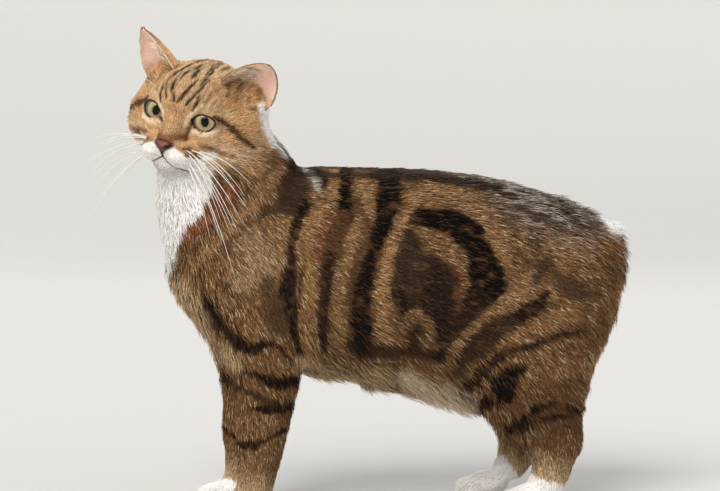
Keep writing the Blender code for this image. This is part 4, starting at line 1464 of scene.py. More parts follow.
@dataclass
class Ear:
    """One ear: a cupped shell whose rows of arcs narrow to a rounded tip."""

    side: int
    tip: tuple[float, float, float]
    inner_base: tuple[float, float, float] = (10.0, 21.0, 31.0)
    outer_base: tuple[float, float, float] = (-8.0, 55.0, 16.0)
    wall: float = 1.7
    cup: float = 12.5
    taper: tuple[float, float] = (1.9, 0.62)
    root: float = 10.0
    arc: float = 1.35
    rows: int = 34
    columns: int = 30

    def _axes(self) -> tuple[Array, Array, Array, Array, float, float]:
        """Middle of the base, direction up, across and back, height and half the base.

        Returns:
            Four rows in the head's frame, and two lengths.
        """
        flip = np.array((1.0, self.side, 1.0))
        inner, outer, tip = (np.array(p) * flip for p in (self.inner_base, self.outer_base, self.tip))
        middle = (inner + outer) / 2.0
        up = tip - middle
        across = unit(outer - inner)
        back = unit(np.cross(unit(up), across)) * self.side
        height, width = (float(np.linalg.norm(v)) for v in (up, outer - inner))
        return middle, up, across, back, height, width / 2.0

    def sheet(self, offset: float, low: float, high: float, rows: int, columns: int) -> Array:
        """A grid on the ear: arc across, rise up, moved off the middle sheet by offset.

        Half the width is the base's times (1 - t^a)^b for a rise of t, a and b being the taper.

        Args:
            offset: millimetres towards the back.
            low: the first row's rise in millimetres.
            high: the last row's rise as a share of the height.
            rows: rows of the grid.
            columns: points in a row.

        Returns:
            An array of row, column and x, y, z in the cat's frame.
        """
        middle, up, across, back, height, half = self._axes()
        climb = np.linspace(low, height * high, rows)[:, None, None]
        share = np.clip(climb / height, 0.0, 1.0)
        taper = np.maximum(0.12, (1.0 - share ** self.taper[0]) ** self.taper[1])
        angle = np.linspace(-self.arc, self.arc, columns)[None, :, None]
        wide = half * taper / math.sin(self.arc)
        deep = self.cup * taper / (1.0 - math.cos(self.arc))
        centre = middle + up * (climb / height) - back * deep * math.cos(self.arc)
        place = across * wide * np.sin(angle) + back * deep * np.cos(angle)
        normal = unit(across * deep * np.sin(angle) + back * wide * np.cos(angle))
        thin = 1.0 - 0.45 * share
        return HEAD.out(centre + place + normal * offset * thin)

    def root_line(self, count: int) -> Array:
        """Points along the foot of the ear, sunk in the head."""
        return self.sheet(0.0, -5.0, 0.0, 2, count)[0]

    def hollow(self) -> Array:
        """The middle of the hollow in front of the ear's foot."""
        middle, up, _, back, height, _ = self._axes()
        return HEAD.out(middle - back * 7.0 + up / height * 3.0)

    def build(self, finish: Material) -> Object:
        """The shell as one closed piece, pink inside and furred brown outside.

        Args:
            finish: its material.

        Returns:
            The piece.
        """
        front, rear = (
            self.sheet(offset, -self.root, 1.0, self.rows, self.columns)
            for offset in (-self.wall / 2.0, self.wall / 2.0)
        )
        points, faces = closed_tube(np.concatenate([front, rear[:, ::-1]], axis=1))
        share = np.tile(np.repeat((0.0, 1.0), self.columns), self.rows)
        share = np.append(share, (0.5, 0.5))
        climb = np.append(np.repeat(np.linspace(0.0, 1.0, self.rows), 2 * self.columns), (0.0, 1.0))
        patchy = rise(cloud(points, 9.0, 21), -0.3, 0.6) * 0.6
        inside = blended(linear(240, 202, 186), linear(248, 226, 212), patchy)
        inside = blended(inside, linear(196, 160, 124), 1.0 - rise(climb, 0.2, 0.5))
        outside = blended(linear(168, 128, 86), linear(128, 96, 66), rise(climb, 0.3, 0.9))
        word = SIDE_WORDS[self.side]
        piece = new_piece(f"ear_shell_{word}", points, faces, finish, blended(inside, outside, share))
        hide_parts(f"ear_{word}")
        return piece


EARS: dict[int, Ear] = {
    1: Ear(1, (3.0, 57.0, 52.0)),
    -1: Ear(-1, (6.0, 56.0, 54.8), taper=(1.45, 0.75)),
}


@dataclass
class Lids:
    """The dark margin round one eye's opening."""

    side: int
    thick: float = 0.85
    steps: int = 96
    around: int = 8

    def build(self, finish: Material) -> Object:
        """A tube on the eyeball along the opening's edge, drawn out at the inner corner.

        Args:
            finish: its material.

        Returns:
            The piece.
        """
        angle = np.linspace(0.0, FULL_TURN, self.steps, endpoint=False)
        left, up = eye_edge(angle, self.side)
        inner = np.clip(-self.side * np.cos(angle), 0.0, 1.0) ** 10
        out = np.sqrt(np.maximum((EYE_RADIUS + 0.25) ** 2 - left**2 - up**2, 4.0))
        path = eye_place(self.side).out(np.stack([out, left, up], axis=1))
        thick = self.thick * (0.75 + 0.35 * np.maximum(np.sin(angle), 0.0) + 0.2 * inner)
        look = eye_place(self.side).turn[:, 0]
        away = unit(path - path.mean(axis=0))
        turn = np.linspace(0.0, FULL_TURN, self.around, endpoint=False)[None, :, None]
        ring = away[:, None] * np.cos(turn) + look * np.sin(turn)
        points = (path[:, None] + ring * thick[:, None, None]).reshape(-1, 3)
        faces = ring_faces(self.steps, self.around, joined=True)
        word = SIDE_WORDS[self.side]
        piece = new_piece(f"lid_rim_{word}", points, faced_out(points, faces), finish)
        return piece


@dataclass
class Eyeball:
    """One eye: a sphere with the cornea's bulge, mapped flat along its look."""

    side: int
    bulge: float = 0.9
    rings: int = 36
    around: int = 56
    cornea: float = 46.0

    def build(self, finish: Material) -> Object:
        """Rings about the look's axis: the radius grows by the bulge on the cornea's cone.

        Args:
            finish: its material.

        Returns:
            The piece.
        """
        polar, *directions = globe(self.rings, self.around, 0.004)
        swell = np.clip(1.0 - (polar / math.radians(self.cornea)) ** 2, 0.0, 1.0) ** 1.5
        radius = EYE_RADIUS + self.bulge * swell
        points, faces = closed_tube(np.stack([radius * d for d in directions], axis=-1))
        flat = 0.5 + 0.5 * points[:, 1:3] / (EYE_RADIUS + self.bulge)
        word = SIDE_WORDS[self.side]
        gaze = Matrix.Rotation(math.radians(EYE_GAZE[self.side]), 4, "Z")
        gaze = gaze @ Matrix.Rotation(math.radians(-EYE_RAISE), 4, "Y")
        points = Place(eye_place(self.side).matrix @ gaze).out(points)
        piece = new_piece(f"eyeball_{word}", points, faces, finish, marks=flat, map_name="EyeMap")
        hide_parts(f"eye_{word}")
        return piece


@dataclass
class Nose:
    """The nose leather: a soft triangle with a nostril at each side and a cleft below."""

    rings: int = 64
    around: int = 80
    top: float = 0.85
    nostril: tuple[float, float] = (5.0, 0.6)
    nostril_half: tuple[float, float] = (2.8, 1.25)
    nostril_depth: float = 3.2
    slant: float = 0.6
    cleft: tuple[float, float] = (0.6, 0.9)
    wing: tuple[float, float] = (5.4, 3.2)
    wing_half: tuple[float, float] = (2.2, 1.5)
    wing_rise: float = 0.8
    turned_back: float = 0.03

    def build(self, finish: Material) -> Object:
        """An ellipsoid narrowed to a point below, with slanted pits and a narrow groove.

        The width follows nose_taper, and the sides turn back with the square of their distance.
        Pits, wings and groove are bells, exp(-d^2), of the distance in their own half sizes.

        Args:
            finish: its material.

        Returns:
            The piece.
        """
        _, x, y, z = globe(self.rings, self.around, 0.01)
        high = z * np.where(z > 0.0, self.top, 1.0)
        own = np.stack([x, y * nose_taper(z), high], axis=-1) * NOSE_HALF
        front = np.clip(x, 0.0, 1.0) ** 0.5
        side, low = np.abs(own[..., 1]), own[..., 2]
        off, above = side - self.nostril[0], low - self.nostril[1]
        slit = (off / self.nostril_half[0]) ** 2
        slit = slit + ((above - self.slant * off) / self.nostril_half[1]) ** 2
        pit = np.exp(-slit) * self.nostril_depth
        cleft = np.exp(-((side / self.cleft[0]) ** 2)) * rise(-low, -1.5, 2.5) * self.cleft[1]
        lobe = ((side - self.wing[0]) / self.wing_half[0]) ** 2
        lobe = lobe + ((low - self.wing[1]) / self.wing_half[1]) ** 2
        wing = np.exp(-lobe) * self.wing_rise
        own[..., 0] += front * (wing - pit - cleft) - self.turned_back * side**2
        # Pits and cleft painted near black: painted shade in the nostrils and the groove under the nose.
        dark = np.append(np.clip(pit / 1.5 + cleft * 0.6, 0.0, 1.0), (0.0, 0.0))
        rim = np.append(1.0 - rise(x, 0.3, 0.62), (0.0, 0.0))
        points, faces = closed_tube(own + NOSE_MIDDLE)
        colour = blended(linear(140, 82, 71), linear(84, 44, 36), 0.9 * rim)
        colour = blended(colour, linear(26, 13, 11), dark)
        piece = new_piece("nose_leather", HEAD.out(points), faces, finish, colour)
        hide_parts("nose")
        return piece


@dataclass
class Mouth:
    """The dark line of the closed lips: the cleft under the nose, and a curve to each corner."""

    thick: float = 0.62
    out: float = 0.3

    def build(self, finish: Material, skin: Skin) -> list[Object]:
        """A thin tube along each half of the line, laid a little out of the carved skin.

        Args:
            finish: its material.
            skin: the carved skin.

        Returns:
            Both halves.
        """
        made = []
        for side, word in SIDE_WORDS.items():
            line = curve_through(MOUTH_PATH * np.array((1.0, side, 1.0)), 44)
            path = nearest_on(skin, HEAD.out(line))
            path = path + self.out * unit(path - HEAD.out(np.array((20.0, 0.0, -26.0))))
            thick = self.thick * (1.1 - 0.75 * np.linspace(0.0, 1.0, len(path)))
            points, faces = strand(path, thick, 8)
            piece = new_piece(f"lip_line_{word}", points, faces, finish)
            made.append(piece)
        return made


def nearest_on(skin: Skin, places: Array) -> Array:
    """The skin's nearest points to some places, eased along the line that they make.

    Args:
        skin: the built skin.
        places: rows in the cat's frame.

    Returns:
        One row a place.
    """
    low, high = places.min(axis=0) - 12.0, places.max(axis=0) + 12.0
    near = skin.points[np.all((skin.points > low) & (skin.points < high), axis=1)]
    found = near[np.argmin(np.linalg.norm(places[:, None] - near[None], axis=2), axis=1)]
    for _ in range(6):
        found[1:-1] = (found[:-2] + 2.0 * found[1:-1] + found[2:]) / 4.0
    return found


@dataclass
class Tufts:
    """Solid tufts of hair on a surface, each a bent spindle of six triangles."""

    name: str
    finish: Material
    patch: float = 0.0015
    pattern: tuple[tuple[int, int, int], ...] = (
        (0, 2, 1), (0, 1, 3), (0, 3, 2), (4, 1, 2), (4, 3, 1), (4, 2, 3),
    )
    # Factors for a tuft's foot, sides, ridge and tip: painted shade at the foot, deep in the coat, with a
    # darker undercoat; painted light on the ridge and tip, with paler tips.
    dark_painted_shades: tuple[float, ...] = (0.5, 1.0, 1.0, 1.04, 1.1)
    pale_painted_shades: tuple[float, ...] = (0.86, 1.0, 1.0, 1.0, 1.02)

    def build(self, root: Array, normal: Array, flow: Array, length: Array, width: Array, lift: Array,
              colour: Array, marks: Array) -> Object:
        """One piece of tufts.

        Each runs from its root along the hair's lie, raised by the lift at first and by a third of
        it past the middle, where it is widest: a flat triangle of the given width.

        Args:
            root: rows of x, y, z on the surface.
            normal: the surface's unit normals there.
            flow: unit directions along the surface.
            length: millimetres.
            width: millimetres across the middle.
            lift: radians off the surface.
            colour: linear red, green and blue at the tuft's middle.
            marks: the root's place on the unwrap, 0 to 1.

        Returns:
            The joined tufts as one object.
        """
        count = len(root)
        side = np.cross(normal, flow)
        first = flow * np.cos(lift)[:, None] + normal * np.sin(lift)[:, None]
        second = flow * np.cos(lift * 0.3)[:, None] + normal * np.sin(lift * 0.3)[:, None]
        middle = root + first * (length * 0.56)[:, None]
        tip = middle + second * (length * 0.44)[:, None]
        half = (width / 2.0)[:, None]
        foot, ridge = root - normal * 0.5, middle + normal * half * 0.7
        corners = (foot, middle - side * half, middle + side * half, ridge, tip)
        points = np.stack(corners, axis=1).reshape(-1, 3)
        points[:, 2] = np.maximum(points[:, 2], 0.3)
        leans = (-flow * 0.25, -side * 0.42, side * 0.42, flow * 0.1, flow * 0.45)
        lean = np.stack([normal + tilt for tilt in leans], axis=1)
        under = flow * np.sin(lift * 0.6)[:, None] - normal * np.cos(lift * 0.6)[:, None]
        pattern = np.array(self.pattern)
        faces = (np.arange(count)[:, None, None] * 5 + pattern).reshape(-1, 3)
        shading = unit(lean)[:, pattern]
        shading[:, 0] = shading[:, 3] = under[:, None]
        # Pale hair takes the milder painted shade and painted light.
        pale = rise(colour @ LIGHTNESS, 0.3, 0.7)[:, None]
        shade = np.array(self.dark_painted_shades) * (1.0 - pale) + np.array(self.pale_painted_shades) * pale
        tint = np.clip((colour[:, None] * shade[:, :, None]).reshape(-1, 3), 0.0, 1.0)
        a = self.patch
        corner = np.array(((0.0, -a), (-a, 0.0), (a, 0.0), (0.0, 0.25 * a), (0.0, a)))
        flat = (marks[:, None] + corner).reshape(-1, 2)
        piece = new_piece(self.name, points, faces, self.finish, tint, flat, normals=shading)
        self._crease(piece.data)
        return piece

    def _crease(self, mesh: Mesh) -> None:
        """Marks each tuft's outline sharp, so that its underside keeps directions of its own.

        Args:
            mesh: the tufts.
        """
        ends = np.empty(len(mesh.edges) * 2, np.int32)
        mesh.edges.foreach_get("vertices", ends)
        ends = ends.reshape(-1, 2) % 5
        outline = np.all(ends != 3, axis=1) & (ends.sum(axis=1) != 3)
        kept = mesh.attributes
        layer = kept.get("sharp_edge") or kept.new("sharp_edge", "BOOLEAN", "EDGE")
        layer.data.foreach_set("value", outline)


class Part(Enum):
    """The pieces that the coat is made in."""

    HEAD_LEFT = "head_left"
    HEAD_RIGHT = "head_right"
    NECK = "neck"
    FORE_LEFT = "foreleg_left"
    FORE_RIGHT = "foreleg_right"
    HIND_LEFT = "hindleg_left"
    HIND_RIGHT = "hindleg_right"
    SHOULDER_LEFT = "shoulder_left"
    SHOULDER_RIGHT = "shoulder_right"
    FLANK_LEFT = "flank_left"
    FLANK_RIGHT = "flank_right"
    RUMP_LEFT = "rump_left"
    RUMP_RIGHT = "rump_right"


UPRIGHT_PARTS = (Part.FORE_LEFT, Part.FORE_RIGHT, Part.HIND_LEFT, Part.HIND_RIGHT, Part.NECK)


@dataclass
class Fur:
    """The coat over the whole skin."""

    total: int = 232000
    seed: int = 11

    def build(self, skin: Skin, finish: Material) -> list[Object]:
        """Scatters roots by the coat's density and builds each part's tufts.

        Args:
            skin: the measured skin.
            finish: the hair's material.

        Returns:
            One object a part.
        """
        rng = np.random.default_rng(self.seed)
        total = self.total
        face_points = skin.points[skin.faces]
        cross = np.cross(face_points[:, 1] - face_points[:, 0], face_points[:, 2] - face_points[:, 0])
        area = np.linalg.norm(cross, axis=1) / 2.0
        middle = face_points.mean(axis=1)
        length = skin.coat.length[skin.faces].mean(axis=1)
        weight = area / (length * self._width(length)) * self._keep(middle)
        bounds = np.cumsum(weight)
        marks = (np.arange(total) + rng.random(total)) / total * bounds[-1]
        chosen = np.searchsorted(bounds, marks).clip(0, len(weight) - 1)
        share = rng.random((total, 2))
        share = np.where(share.sum(axis=1, keepdims=True) > 1.0, 1.0 - share, share)
        bary = np.stack([1.0 - share.sum(axis=1), share[:, 0], share[:, 1]], axis=1)
        corners = skin.faces[chosen]
        root, normal, flow, length, lift = (
            np.einsum("ij,ij...->i...", bary, values[corners])
            for values in (skin.points, skin.normals, skin.coat.flow, skin.coat.length, skin.coat.lift)
        )
        normal = unit(normal)
        stray = np.stack([cloud(root, 7.0, 31 + i) for i in range(3)], axis=1)
        fine = np.stack([cloud(root, 2.2, 41 + i) for i in range(3)], axis=1)
        long = rise(length, 9.0, 18.0)[:, None]
        flow = flow + 0.22 * stray + (0.16 + 0.3 * long) * fine + 0.10 * rng.normal(size=(total, 3))
        flow = laid(flow, normal)
        length = length * (1.0 + 0.16 * cloud(root, 4.0, 51)) * rng.uniform(0.72, 1.16, total)
        length = length * (0.35 + 0.65 * rise(mouth_gap(HEAD.into(root)), 1.0, 5.0))
        lift = lift * (1.0 + 0.25 * cloud(root, 6.0, 52)) * rng.uniform(0.7, 1.35, total)
        width = self._width(length) * rng.uniform(0.75, 1.25, total)
        lift = lift * (0.2 + 0.8 * rise(root[:, 2], 2.0, 8.0))
        colour = self._ticked(root + flow * (length * 0.55)[:, None], rng)
        part = self._part(root)
        made = []
        for number, piece in enumerate(Part):
            mine = part == number
            own = (values[mine] for values in (root, normal, flow, length, width, lift, colour))
            tufts = Tufts(f"coat_{piece.value}", finish)
            made.append(tufts.build(*own, self._unwrap(root[mine], piece)))
        return made

    def _width(self, length: Array) -> Array:
        """A tuft's width for its length: 0.4 mm at 2 mm and 0.85 mm at 16 mm and over."""
        return 0.4 + 0.45 * rise(length, 2.0, 16.0)

    def _keep(self, places: Array) -> Array:
        """Where hair grows: not on the nose, in the eyes' openings, or under the soles.

        Args:
            places: rows in the cat's frame.

        Returns:
            A share a row, 0 where it is bare.
        """
        own = HEAD.into(places)
        keep = rise(nose_share(own), 0.98, 1.12)
        for side in (-1, 1):
            eye = eye_place(side).into(places)
            near = (eye[:, 0] > 0.0) & (np.linalg.norm(eye, axis=1) < EYE_REGION)
            keep *= np.where(near, rise(eye_share(eye, side), 1.08, 1.2), 1.0)
        keep *= rise(mouth_gap(own), 0.7, 1.6)
        return keep * rise(places[:, 2], 0.3, 1.2)

    def _ticked(self, places: Array, rng: np.random.Generator) -> Array:
        """The markings with single tufts darker or paler, as a ticked coat has, less on the head.

        Args:
            places: rows in the cat's frame.
            rng: the source of chance.

        Returns:
            Rows of colour.
        """
        colour = MARKINGS.colour(places)
        light = colour @ LIGHTNESS
        pick = rng.random(len(places))
        warm = rise(light, 0.05, 0.12) * (1.0 - rise(light, 0.4, 0.6))
        warm = warm * (1.0 - 0.5 * head_share(places))
        dark = rise(-light, -0.05, -0.02)
        colour = Tone.INK.over(colour, 0.55 * (pick < 0.20) * warm)
        colour = Tone.CREAM.over(colour, 0.35 * (pick > 0.86) * warm)
        colour = Tone.UMBER.over(colour, 0.7 * (pick > 0.86) * dark)
        return uneven(colour, 0.12, rng)

    def _part(self, root: Array) -> Array:
        """The number of the piece that each root belongs to.

        Args:
            root: rows in the cat's frame.

        Returns:
            One number a row.
        """
        x, y, z = root.T
        right = (y > 0.0).astype(int)
        own = HEAD.into(root)
        index = {piece: number for number, piece in enumerate(Part)}
        low = z < 112.0
        part = index[Part.FLANK_LEFT] + right
        for inside, number in (
            (x < -40.0, index[Part.SHOULDER_LEFT] + right),
            (x >= 75.0, index[Part.RUMP_LEFT] + right),
            (above_plane(root, (-116, 0, 232), (-0.5, 0.0, 0.86)) > 0.0, index[Part.NECK]),
            (low & (x < -50.0), index[Part.FORE_LEFT] + right),
            (low & (x > 75.0), index[Part.HIND_LEFT] + right),
            (above_neck(root) > 0.0, index[Part.HEAD_LEFT] + (own[:, 1] <= 0.0)),
        ):
            part = np.where(inside, number, part)
        return part

    def _unwrap(self, root: Array, piece: Part) -> Array:
        """Each root's place on an unwrap of its part of the skin, filling the square.

        Legs and neck unroll about an upright axis, trunk pieces about the line of the spine, and
        the halves of the head about their own middle.

        Args:
            root: rows in the cat's frame.
            piece: the part.

        Returns:
            Rows from 0.01 to 0.99.
        """
        x, y, z = root.T
        if piece in (Part.HEAD_LEFT, Part.HEAD_RIGHT):
            ahead, left, high = (HEAD.into(root) + np.array((4.0, 0.0, 4.0))).T
            round_side = np.arctan2(np.abs(left), np.hypot(ahead, high))
            flat = np.stack([np.arctan2(high, ahead), round_side], axis=1)
        elif piece in UPRIGHT_PARTS:
            flat = np.stack([np.arctan2(y - np.median(y), x - np.median(x)), z], axis=1)
        else:
            flat = np.stack([x, np.arctan2(np.abs(y), z - 175.0)], axis=1)
        low, high = flat.min(axis=0), flat.max(axis=0)
        return 0.01 + 0.98 * (flat - low) / (high - low)


@dataclass
class EarFur:
    """Short hair on the back of an ear, a pale fringe on its edge and long hairs in the cup."""

    ear: Ear
    back_count: int = 5200
    rim_count: int = 2400
    inner_count: int = 700
    grid: int = 60

    def __post_init__(self) -> None:
        """Starts the source of chance, one seed an ear."""
        self.rng = np.random.default_rng(60 + self.ear.side)

    def build(self, finish: Material) -> Object:
        """All of the ear's hair as one piece.

        Args:
            finish: its material.

        Returns:
            The piece.
        """
        groups = zip(self._back(), self._rim(), self._cup())
        word = SIDE_WORDS[self.ear.side]
        return Tufts(f"coat_ear_{word}", finish).build(*(np.concatenate(group) for group in groups))

    def _sample(self, offset: float, climb: Array, across: Array) -> tuple[Array, Array, Array]:
        """Points of the ear at shares up and across, with their normals and the way up.

        Args:
            offset: millimetres towards the ear's back.
            climb: shares up the ear.
            across: shares across it.

        Returns:
            Three sets of rows.
        """
        rows = columns = self.grid
        grid = self.ear.sheet(offset, 0.0, 0.985, rows, columns)
        up, over = (unit(np.gradient(grid, axis=axis)) for axis in (0, 1))
        normal = unit(np.cross(up, over))
        behind = self.ear.sheet(offset + 1.0, 0.0, 0.985, rows, columns) - grid
        normal = normal * np.sign(np.sum(normal * behind, axis=-1, keepdims=True))
        i = np.clip((climb * (rows - 1)).astype(int), 0, rows - 1)
        j = np.clip((across * (columns - 1)).astype(int), 0, columns - 1)
        moved = over[i, j] * 0.4 * (across * (columns - 1) - j)[:, None]
        return grid[i, j] + moved, normal[i, j], up[i, j]

    def _back(self) -> tuple[Array, ...]:
        """Short dense hair on the back, dark towards the tip.

        Returns:
            What Tufts.build takes.
        """
        ear, rng, count = self.ear, self.rng, self.back_count
        climb, across = rng.random(count) ** 1.2, rng.random(count)
        root, normal, up = self._sample(ear.wall / 2.0, climb, across)
        flow = unit(up + 0.2 * rng.normal(size=(count, 3)))
        flow = laid(flow, normal)
        colour = blended(linear(200, 160, 114), linear(140, 106, 74), rise(climb, 0.35, 0.9) * 0.8)
        colour = uneven(colour, 0.2, rng)
        length = (5.0 - 2.6 * climb) * rng.uniform(0.8, 1.2, count)
        marks = 0.01 + 0.98 * np.stack([across, climb * 0.7], axis=1)
        lift = np.radians(rng.uniform(4, 14, count))
        return root, normal, flow, length, np.full(count, 0.55), lift, colour, marks

    def _rim(self) -> tuple[Array, ...]:
        """Fine pale hair along both edges, pointing out and up.

        Returns:
            What Tufts.build takes.
        """
        ear, rng, count = self.ear, self.rng, self.rim_count
        climb = rng.random(count)
        across = np.where(rng.random(count) < 0.5, 0.0, 1.0)
        root, normal, up = self._sample(0.0, climb, across)
        outward = unit(root - HEAD.out(np.array((0.0, ear.side * 38.0, 30.0))))
        flow = unit(up * 1.4 + outward * 0.5 + 0.12 * rng.normal(size=(count, 3)))
        flow = laid(flow, normal)
        colour = uneven(np.tile(linear(240, 222, 196), (count, 1)), 0.1, rng)
        length = (4.2 - 2.0 * climb) * rng.uniform(0.7, 1.2, count)
        marks = 0.01 + 0.98 * np.stack([climb, np.full(count, 0.75) + across * 0.08], axis=1)
        lift = np.radians(rng.uniform(-6, 8, count))
        return root, normal, flow, length, np.full(count, 0.4), lift, colour, marks

    def _cup(self) -> tuple[Array, ...]:
        """Long pale hairs from the inner edge, lying across the cup.

        Returns:
            What Tufts.build takes.
        """
        ear, rng, count = self.ear, self.rng, self.inner_count
        climb = rng.random(count) ** 1.3 * 0.62
        across = 0.02 + 0.4 * rng.random(count) ** 1.5
        root, normal, up = self._sample(-ear.wall / 2.0, climb, across)
        normal = -normal
        out = unit(np.cross(up, normal)) * ear.side
        out = out * np.sign(np.sum(out * HEAD.turn[:, 1] * ear.side, axis=1, keepdims=True))
        flow = unit(up * 0.9 + out * 0.7 + 0.2 * rng.normal(size=(count, 3)))
        flow = laid(flow, normal)
        tan = rise(rng.random(count) - 1.2 * climb, 0.0, 0.5)
        colour = uneven(blended(linear(238, 224, 206), linear(190, 148, 104), tan), 0.12, rng)
        length = rng.uniform(7.0, 14.0, count) * (1.0 - 0.5 * climb)
        marks = 0.01 + 0.98 * np.stack([across * 2.2, 0.9 + climb * 0.15], axis=1)
        lift = np.radians(rng.uniform(12, 34, count))
        return root, normal, flow, length, np.full(count, 0.5), lift, colour, marks


@dataclass
class Whiskers:
    """Long white whiskers from both lip pads, and a few hairs over the eyes."""

    a_side: int = 13
    thick: float = 0.5
    length: tuple[float, float] = (42.0, 68.0)
    brow_hairs: int = 2

    def build(self, finish: Material, skin: Skin) -> list[Object]:
        """Each whisker is a tapering tube along an arc that leaves the pad outwards and droops.

        Args:
            finish: its material.
            skin: the skin that they grow from.

        Returns:
            One piece a side.
        """
        made = []
        for side, word in SIDE_WORDS.items():
            rng = np.random.default_rng(90 + side)
            surfaces = []
            for number in range(self.a_side):
                row, place = number % 4, number / (self.a_side - 1)
                root = np.array((43.0 - 12.0 * place, side * (16.0 + 5.0 * place), -20.0 - 3.4 * row))
                aim = np.array((0.62 - 0.62 * place, side, 0.14 - 0.3 * row + rng.uniform(-0.08, 0.08)))
                length = rng.uniform(*self.length) * (0.75 + 0.25 * math.sin(math.pi * place))
                droop = 0.34 + 0.2 * rng.random()
                surfaces.append(self._one(root, aim, length, droop, self.thick, skin))
            for number in range(self.brow_hairs):
                root = np.array((29.0 - 3.0 * number, side * (20.0 + 3.0 * number), 17.0))
                aim = np.array((0.9, side * (0.5 + 0.25 * number), 0.8))
                surfaces.append(self._one(root, aim, 20.0 + 3.0 * number, 0.1, self.thick * 0.5, skin))
            points, faces = joined_surfaces(surfaces)
            piece = new_piece(f"whiskers_{word}", points, faces, finish)
            made.append(piece)
        return made

    def _one(self, root: Array, aim: Array, length: float, droop: float, thick: float,
             skin: Skin) -> tuple[Array, Array]:
        """One whisker, from the skin nearest its root.

        Args:
            root: its root in the head's frame.
            aim: its direction there.
            length: millimetres.
            droop: how far the tip falls, as a share of the length.
            thick: the radius at the root.
            skin: the skin.

        Returns:
            Points and outward triangles.
        """
        start = nearest_on(skin, HEAD.out(root)[None])[0]
        share = np.linspace(0.0, 1.0, 14)[:, None]
        heading = unit(aim) @ HEAD.turn.T
        path = start - heading * 1.5 + heading * (length + 1.5) * share
        path = path + np.array((0.0, 0.0, -1.0)) * length * droop * share**2
        return strand(path, thick * (1.0 - 0.88 * share[:, 0] ** 1.3), 5)


def joined_surfaces(surfaces: list[tuple[Array, Array]]) -> tuple[Array, Array]:
    """Several surfaces as one pair of arrays.

    Args:
        surfaces: pairs of points and triangles.

    Returns:
        All points, and the triangles with their numbers moved on.
    """
    starts = np.cumsum([0] + [len(points) for points, _ in surfaces[:-1]])
    faces = [part + start for (_, part), start in zip(surfaces, starts)]
    return np.concatenate([points for points, _ in surfaces]), np.concatenate(faces)


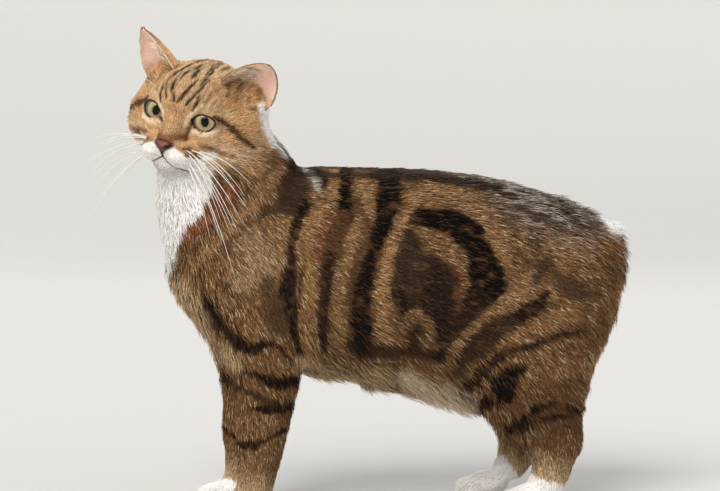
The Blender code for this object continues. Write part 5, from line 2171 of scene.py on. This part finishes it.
@dataclass
class Studio:
    """The pale floor, the soft lights and the camera."""

    distance: float = 2.2
    flat: float = 3.0
    curve: float = 2.6
    wall: float = 2.8
    around: int = 128
    sensor: float = 36.0
    picture: float = 720.0

    def build(self) -> None:
        """Makes all three, and the pale surroundings."""
        self._floor()
        self._lights()
        self._camera()

    def _floor(self) -> None:
        """A wide pale dish: a flat disc whose edge rises in a quarter circle to a low wall."""
        bend = np.linspace(0.0, math.pi / 2.0, 16)
        out = self.flat + self.curve * np.sin(bend)
        out = np.concatenate([[0.0, 1.0, 2.0], out, [self.flat + self.curve]])[:, None]
        high = self.curve * (1.0 - np.cos(bend))
        high = np.concatenate([[0.0, 0.0, 0.0], high, [self.wall]])[:, None]
        turn = np.linspace(0.0, FULL_TURN, self.around, endpoint=False)
        grid = np.stack([out * np.cos(turn), out * np.sin(turn), high * np.ones_like(turn)], axis=-1)
        row, column = np.meshgrid(np.arange(len(out) - 1), np.arange(self.around), indexing="ij")
        here, beyond, after = row * self.around, (row + 1) * self.around, (column + 1) % self.around
        quads = np.stack([here + column, beyond + column, beyond + after, here + after], axis=-1)
        quads = quads.reshape(-1, 4)
        mesh = bpy.data.meshes.new("floor")
        mesh.from_pydata(grid.reshape(-1, 3).tolist(), [], quads.tolist())
        mesh.polygons.foreach_set("use_smooth", np.ones(len(quads), bool))
        floor = placed("floor", mesh)
        mesh.materials.append(Graph("pale_floor").finish({
            "Base Color": (0.64, 0.635, 0.62, 1.0), "Roughness": 0.85, "Specular IOR Level": 0.1,
        }))

    def _lights(self) -> None:
        """A broad soft key from the front and left, a weak fill, and a light from behind."""
        for name, towards, strength, spread, warmth in (
            ("key", (-0.55, -0.75, 0.85), 2.3, 34.0, (1.0, 0.975, 0.94)),
            ("fill", (0.8, -0.75, 0.35), 0.5, 40.0, (0.95, 0.97, 1.0)),
            ("back", (0.55, 0.75, 0.95), 1.3, 20.0, (1.0, 0.99, 0.97)),
        ):
            light = bpy.data.lights.new(name, "SUN")
            light.energy = strength
            light.angle = math.radians(spread)
            light.color = warmth
            lamp = placed(name, light)
            lamp.rotation_euler = Vector(towards).to_track_quat("Z", "Y").to_euler()
            lamp.location = towards
        world = bpy.data.worlds.new("studio")
        world.use_nodes = True
        back = world.node_tree.nodes["Background"]
        back.inputs["Color"].default_value = (0.95, 0.96, 0.97, 1.0)
        back.inputs["Strength"].default_value = 0.42
        bpy.context.scene.world = world
        bpy.context.scene.view_settings.view_transform = "Standard"

    def _camera(self) -> None:
        """A long lens at the distance, height and side of the portrait."""
        towards, right, up = MARKINGS.axes()
        camera = bpy.data.cameras.new("portrait")
        camera.sensor_width = self.sensor
        camera.lens = self.sensor * self.distance / (self.picture * MARKINGS.step * MM)
        stand = placed("portrait", camera)
        place = to_model(MARKINGS.aim() + towards * self.distance / MM)
        turn = Matrix((right, up, towards)).transposed()
        stand.matrix_world = Matrix.Translation(place) @ turn.to_4x4()
        bpy.context.scene.camera = stand


def main() -> None:
    """Builds the pieces in order and says how each came out."""
    logging.basicConfig(level=logging.INFO, format="%(message)s")
    Studio().build()
    fur = FurFinish().material()
    rim = HideFinish("lid_leather", (34, 24, 20), (16, 11, 10), 0.35, 700.0, 0.2).material()
    skin = Skin()
    skin.build()
    piece = skin.piece(fur)
    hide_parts(*(n for n in FLESH_NODES if n != "nose" and not n.startswith("eye")))
    made = [piece]
    eye = EyeFinish().material()
    for side in SIDE_WORDS:
        made += [Eyeball(side).build(eye), Lids(side).build(rim)]
        made += [EARS[side].build(fur), EarFur(EARS[side]).build(fur)]
    leather = HideFinish("nose_skin", (255, 255, 255), (222, 212, 210), 0.42, 1300.0, 0.5, painted=True)
    made.append(Nose().build(leather.material()))
    lips = HideFinish("lip_skin", (74, 52, 46), (52, 38, 34), 0.6, 700.0, 0.2)
    made += Mouth().build(lips.material(), skin)
    hair = HideFinish("whisker_hair", (246, 243, 236), (236, 231, 222), 0.35, 300.0, 0.0)
    made += Whiskers().build(hair.material(), skin)
    made += Fur().build(skin, fur)
    for piece in made:
        log.info("%s: %d triangles", piece.name, len(piece.data.polygons))


if __name__ == "__main__":
    main()
